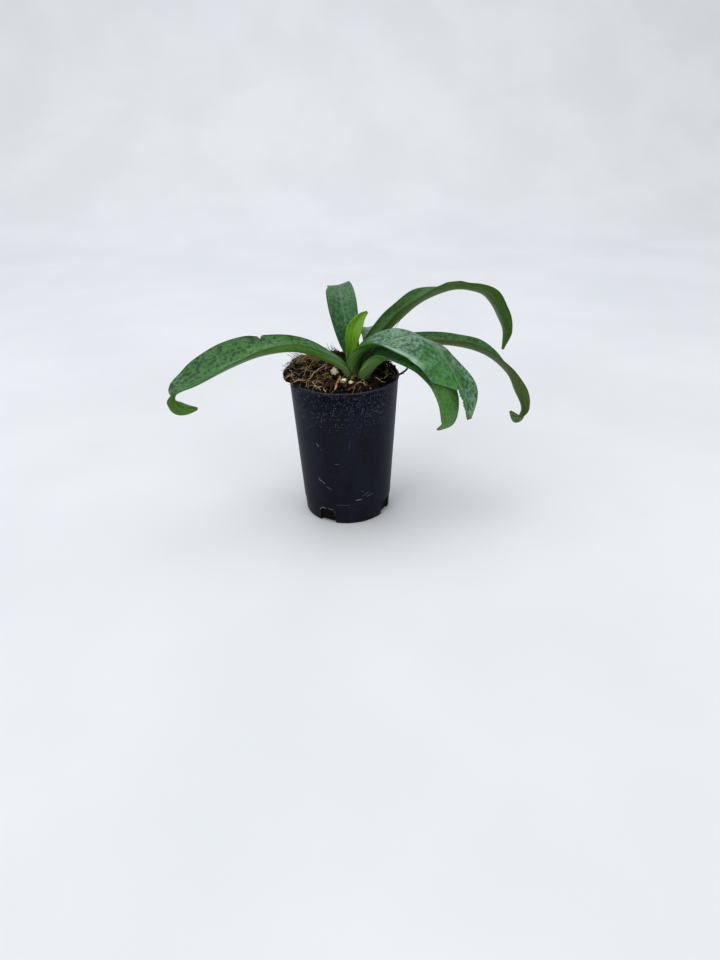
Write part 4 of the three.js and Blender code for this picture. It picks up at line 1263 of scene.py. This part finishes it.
def build_bark_chunk():
    """Broad flake of bark at the top of the heap, with a few more that lean on it."""
    draw = random.Random(52)
    bits = Bits()
    for long, wide, deep, x, y, turn, lean in BARK_FLAKES:
        points, faces = rough_slab(draw, long, wide, deep)
        lie = Matrix.Rotation(math.radians(turn), 3, "Z") @ Matrix.Rotation(math.radians(lean), 3, "X")
        points = points @ np.array(lie).T
        bits.add(points + [x, y, soil_height(x, y) + 1.7], faces, draw.uniform(0.35, 0.6))
    stops = [(0.1, "#0c0805"), (0.3, "#2c2214"), (0.5, "#5a4829"), (0.75, "#8a7342"), (1.0, "#b09a62")]
    drawn = (0.6, 2.6, 1.0)
    paint = grain_paint("bark_flake", stops, bump=1.0, scale=0.9, drawn=drawn, spread=0.42)
    bits.build("bark_chunk_fine", paint, "bark", ["bark_chunk"], sharp=50)


# Bark flakes: length, width, thickness, x, y, turn and lean in degrees.
BARK_FLAKES = (
    (17.5, 8, 2.4, -24, 11, 14, 16),
    (5, 2.6, 1.1, -33, 3, 50, 24),
    (4.5, 2, 1.0, -34, -6, 100, -20),
    (4, 2, 0.9, -32, -13, 70, 15),
    (6, 3, 1.3, -17, 16, -20, 10),
)


def rough_slab(draw, long, wide, deep):
    """Closed slab on a fine grid, with an uneven outline and a fibrous top."""
    rows, columns = 22, 12
    shift = Vector([draw.uniform(0, 50) for _ in range(3)])
    top, bottom = [], []
    for i in range(rows + 1):
        u = 2 * i / rows - 1
        for j in range(columns + 1):
            v = 2 * j / columns - 1
            square = max(abs(u), abs(v))
            circle = math.hypot(u, v) or 1
            shrink = 1 - 0.25 * square * (1 - square / circle)
            x, y = u * shrink * long / 2, v * shrink * wide / 2
            edge = noise.noise(Vector((x * 0.5, y * 0.5, 0)) + shift)
            x, y = x * (1 + 0.25 * edge), y * (1 + 0.3 * edge)
            ridge = noise.noise(Vector((x * 0.25, y * 1.6, 4)) + shift)
            thin = (1 - square**4) * 0.8 + 0.2
            top.append((x, y, deep * (0.5 * thin + 0.35 * ridge * thin)))
            bottom.append((x, y, -deep * 0.5 * thin))
    count = len(top)
    faces = []
    for i in range(rows):
        for j in range(columns):
            a = i * (columns + 1) + j
            b, c, d = a + columns + 1, a + columns + 2, a + 1
            faces.append((a, b, c, d))
            faces.append((d + count, c + count, b + count, a + count))
    border = [i * (columns + 1) for i in range(rows + 1)]
    border += [rows * (columns + 1) + j for j in range(1, columns + 1)]
    border += [i * (columns + 1) + columns for i in range(rows - 1, -1, -1)]
    border += [j for j in range(columns - 1, 0, -1)]
    for k, p in enumerate(border):
        q = border[(k + 1) % len(border)]
        faces.append((q, p, p + count, q + count))
    return np.array(top + bottom), faces


TWIG_PATH = [(30, -12, 95.5), (34.5, -8.5, 96.4), (38, -4, 96.9), (41, 0, 98)]


def build_twig():
    path = smooth_path(TWIG_PATH, 30)
    path = wandering(path, 0.5, Vector((0, 0, 3)), 7, 0.3)
    radii = np.linspace(0.8, 0.55, 30)
    bits = Bits()
    bits.add(*tube(path, radii, 8), 0.4)
    stub = [path[12], path[12] + [1.2, -1.5, 0.6], path[12] + [1.9, -3.2, 0.9]]
    bits.add(*tube(smooth_path(stub, 8), np.linspace(0.4, 0.15, 8), 6), 0.55)
    stops = [(0.0, "#140d09"), (0.4, "#3a2a1d"), (0.8, "#5d4531"), (1.0, "#80654a")]
    paint = grain_paint("twig_bark", stops, drawn=(0.8, 0.8, 2.0))
    bits.build("twig_fine", paint, "twig", ["twig"], sharp=50)


# Hair-fine dead roots that stand up from the soil, by patch: x, y, lean along x and y, length, count.
HAIR_PATCHES = (
    (-25, 17, -0.8, 0.1, 8, 24),
    (-17, 21, -0.8, 0.2, 9, 20),
    (-5, 21, -0.6, 0.1, 10, 16),
    (-1, 16, -0.4, -0.1, 8, 14),
    (-33, 8, -0.6, 0.0, 4, 5),
    (30, 10, 0.3, 0.2, 4, 4),
)


def build_hairs():
    draw = random.Random(61)
    bits = Bits()
    for patch_x, patch_y, lean_x, lean_y, long, count in HAIR_PATCHES:
        for _ in range(count):
            x, y = patch_x + draw.gauss(0, 3), patch_y + draw.gauss(0, 3)
            reach = math.hypot(x, y)
            limit = soil_edge(math.atan2(y, x)) - 1
            x, y = (x * min(1, limit / reach), y * min(1, limit / reach))
            height = long * draw.uniform(0.4, 1.0)
            lean = Vector((lean_x + draw.gauss(0, 0.35), lean_y + draw.gauss(0, 0.35), 1))
            start = Vector((x, y, soil_height(x, y)))
            sag = Vector((draw.gauss(0, 0.2), draw.gauss(0, 0.2), -0.25)) * height
            curl = Vector((draw.gauss(0, 0.09), draw.gauss(0, 0.09), 0)) * height
            pace = draw.uniform(3, 7)
            path = []
            for s in np.linspace(0, 1, 10):
                path.append(tuple(start + lean * height * s + sag * s * s + curl * math.sin(pace * s)))
            bits.add(*tube(path, np.linspace(0.16, 0.08, 10), 4), draw.random())
    thread = [(24, 2, 99), (26, 3, 109), (31, 5, 119), (36.5, 7, 127.5)]
    bits.add(*tube(smooth_path(thread, 20), np.linspace(0.16, 0.12, 20), 4), 0.3)
    stops = [(0.0, "#17100b"), (0.6, "#3d2c1f"), (1.0, "#75593d")]
    bits.build("dead_roots", grain_paint("dead_root", stops), "strand_dark", sharp=60)


# Moss clumps: x, y, spread and number of shoots.
MOSS = (
    (-11, -9, 2.4, 130),
    (-8, -12, 1.4, 60),
    (3, -19, 1.2, 40),
    (22, -12, 2.0, 40),
    (26, -3, 2.2, 40),
    (-26, -2, 2.0, 40),
    (15, -20, 1.5, 25),
)


def build_moss():
    draw = random.Random(71)
    bits = Bits()
    for clump_x, clump_y, spread, count in MOSS:
        for _ in range(count):
            x, y = clump_x + draw.gauss(0, spread * 0.5), clump_y + draw.gauss(0, spread * 0.5)
            high = draw.uniform(0.6, 1.5)
            start = Vector((x, y, soil_height(x, y) + 0.3))
            lean = Vector((draw.gauss(0, 0.5), draw.gauss(0, 0.5), 1)).normalized() * high
            path = [start, start + lean * 0.5, start + lean]
            bits.add(*tube([tuple(p) for p in path], (0.16, 0.2, 0.04), 4), draw.random())
    stops = [(0.0, "#363c12"), (0.4, "#66721f"), (0.8, "#9aa23a"), (1.0, "#c2c26a")]
    bits.build("moss", grain_paint("moss_green", stops), "soil", sharp=60)


def paint_hidden_nodes():
    """Bulb and roots stay as they are, buried, with their own materials."""
    bulb = Paint("bulb_skin", roughness=0.7)
    at = bulb.place()
    fibres = bulb.noise(bulb.stretch(at, (1.0, 1.0, 0.12)), 0.9, 4)
    colour = bulb.ramp(fibres, [(0.3, "#7c6440"), (0.5, "#b9a57a"), (0.7, "#d6c79f")])
    bulb.finish(colour, None, bulb.bump(fibres, 0.5, 0.3))
    root = Paint("root_skin", roughness=0.65)
    grain = root.noise(root.place(), 0.8, 4)
    colour = root.ramp(grain, [(0.3, "#a8956c"), (0.5, "#d8cdb0"), (0.7, "#efe8d4")])
    root.finish(colour, None, root.bump(grain, 0.4, 0.2))
    for name, paint in (("bulb", bulb), ("roots", root)):
        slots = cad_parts[name].material_slots
        for slot in slots:
            slot.material = paint.material
        if not slots:
            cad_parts[name].data.materials.append(paint.material)


def build_stage():
    """Pale floor that curves up into a pale wall behind."""
    width, front, back, curve = 3.0, -2.0, 0.9, 0.7
    profile = [(front, 0.0), (back, 0.0)]
    for k in range(1, 17):
        turn = math.pi / 2 * k / 16
        profile.append((back + curve * math.sin(turn), curve * (1 - math.cos(turn))))
    profile.append((back + curve, 3.0))
    points = [(x, y, z) for y, z in profile for x in (-width, width)]
    faces = [(2 * k, 2 * k + 1, 2 * k + 3, 2 * k + 2) for k in range(len(profile) - 1)]
    mesh = bpy.data.meshes.new("floor")
    mesh.from_pydata(points, [], faces)
    paint = Paint("floor_paint", roughness=0.7, specular=0.3)
    speckle = paint.noise(paint.node("TexCoord", output="Object"), 6.0, 3)
    colour = paint.mix(paint.fade(speckle, 0.3, 0.7), "#dde1e7", "#e3e6ec")
    mesh.materials.append(paint.finish(colour))
    mesh.shade_smooth()
    floor = placed("floor", mesh)


# Lights: name, place, what it points at, size and power.
LIGHTS = (
    ("overhead", (-0.3, 0.3, 2.4), (0, 0.1, 0.05), (2.4, 2.0), 34),
    ("front_left", (-0.9, -1.1, 0.9), (0, 0, 0.1), (0.7, 0.7), 5),
    ("front_right", (1.0, -0.8, 0.7), (0, 0, 0.1), (0.6, 0.8), 3),
)
SKY_COLOUR = "#f2f1ed"
SKY_STRENGTH = 0.55


def add_light(name, place, aim, size, power):
    light = bpy.data.lights.new(name, "AREA")
    light.shape = "RECTANGLE"
    light.size, light.size_y = size
    light.energy = power
    made = placed(name, light)
    made.location = place
    made.rotation_euler = (Vector(aim) - Vector(place)).to_track_quat("-Z", "Y").to_euler()


def build_lights():
    for light in LIGHTS:
        add_light(*light)
    world = bpy.data.worlds.new("studio")
    world.use_nodes = True
    sky = world.node_tree.nodes["Background"]
    sky.inputs["Color"].default_value = tint(SKY_COLOUR)
    sky.inputs["Strength"].default_value = SKY_STRENGTH
    bpy.context.scene.world = world
    bpy.context.scene.view_settings.view_transform = "Standard"


def build_camera():
    camera = bpy.data.cameras.new("camera")
    camera.lens = CAMERA_LENS
    camera.clip_start = 0.01
    made = placed("camera", camera)
    place = Matrix.Translation([value * MM for value in CAMERA_PLACE])
    pitch = Matrix.Rotation(math.radians(90 - CAMERA_PITCH), 4, "X")
    roll = Matrix.Rotation(math.radians(CAMERA_ROLL), 4, "Z")
    made.matrix_world = place @ pitch @ roll
    bpy.context.scene.camera = made


build_camera()
build_stage()
build_lights()
build_pot()
build_flash()
build_soil()
build_chips()
build_fibres()
build_litter()
build_perlite()
build_bark_chunk()
build_twig()
build_hairs()
build_moss()
for leaf_name, leaf_form in LEAVES.items():
    build_leaf(leaf_name, leaf_form)
paint_hidden_nodes()
bpy.context.view_layer.update()
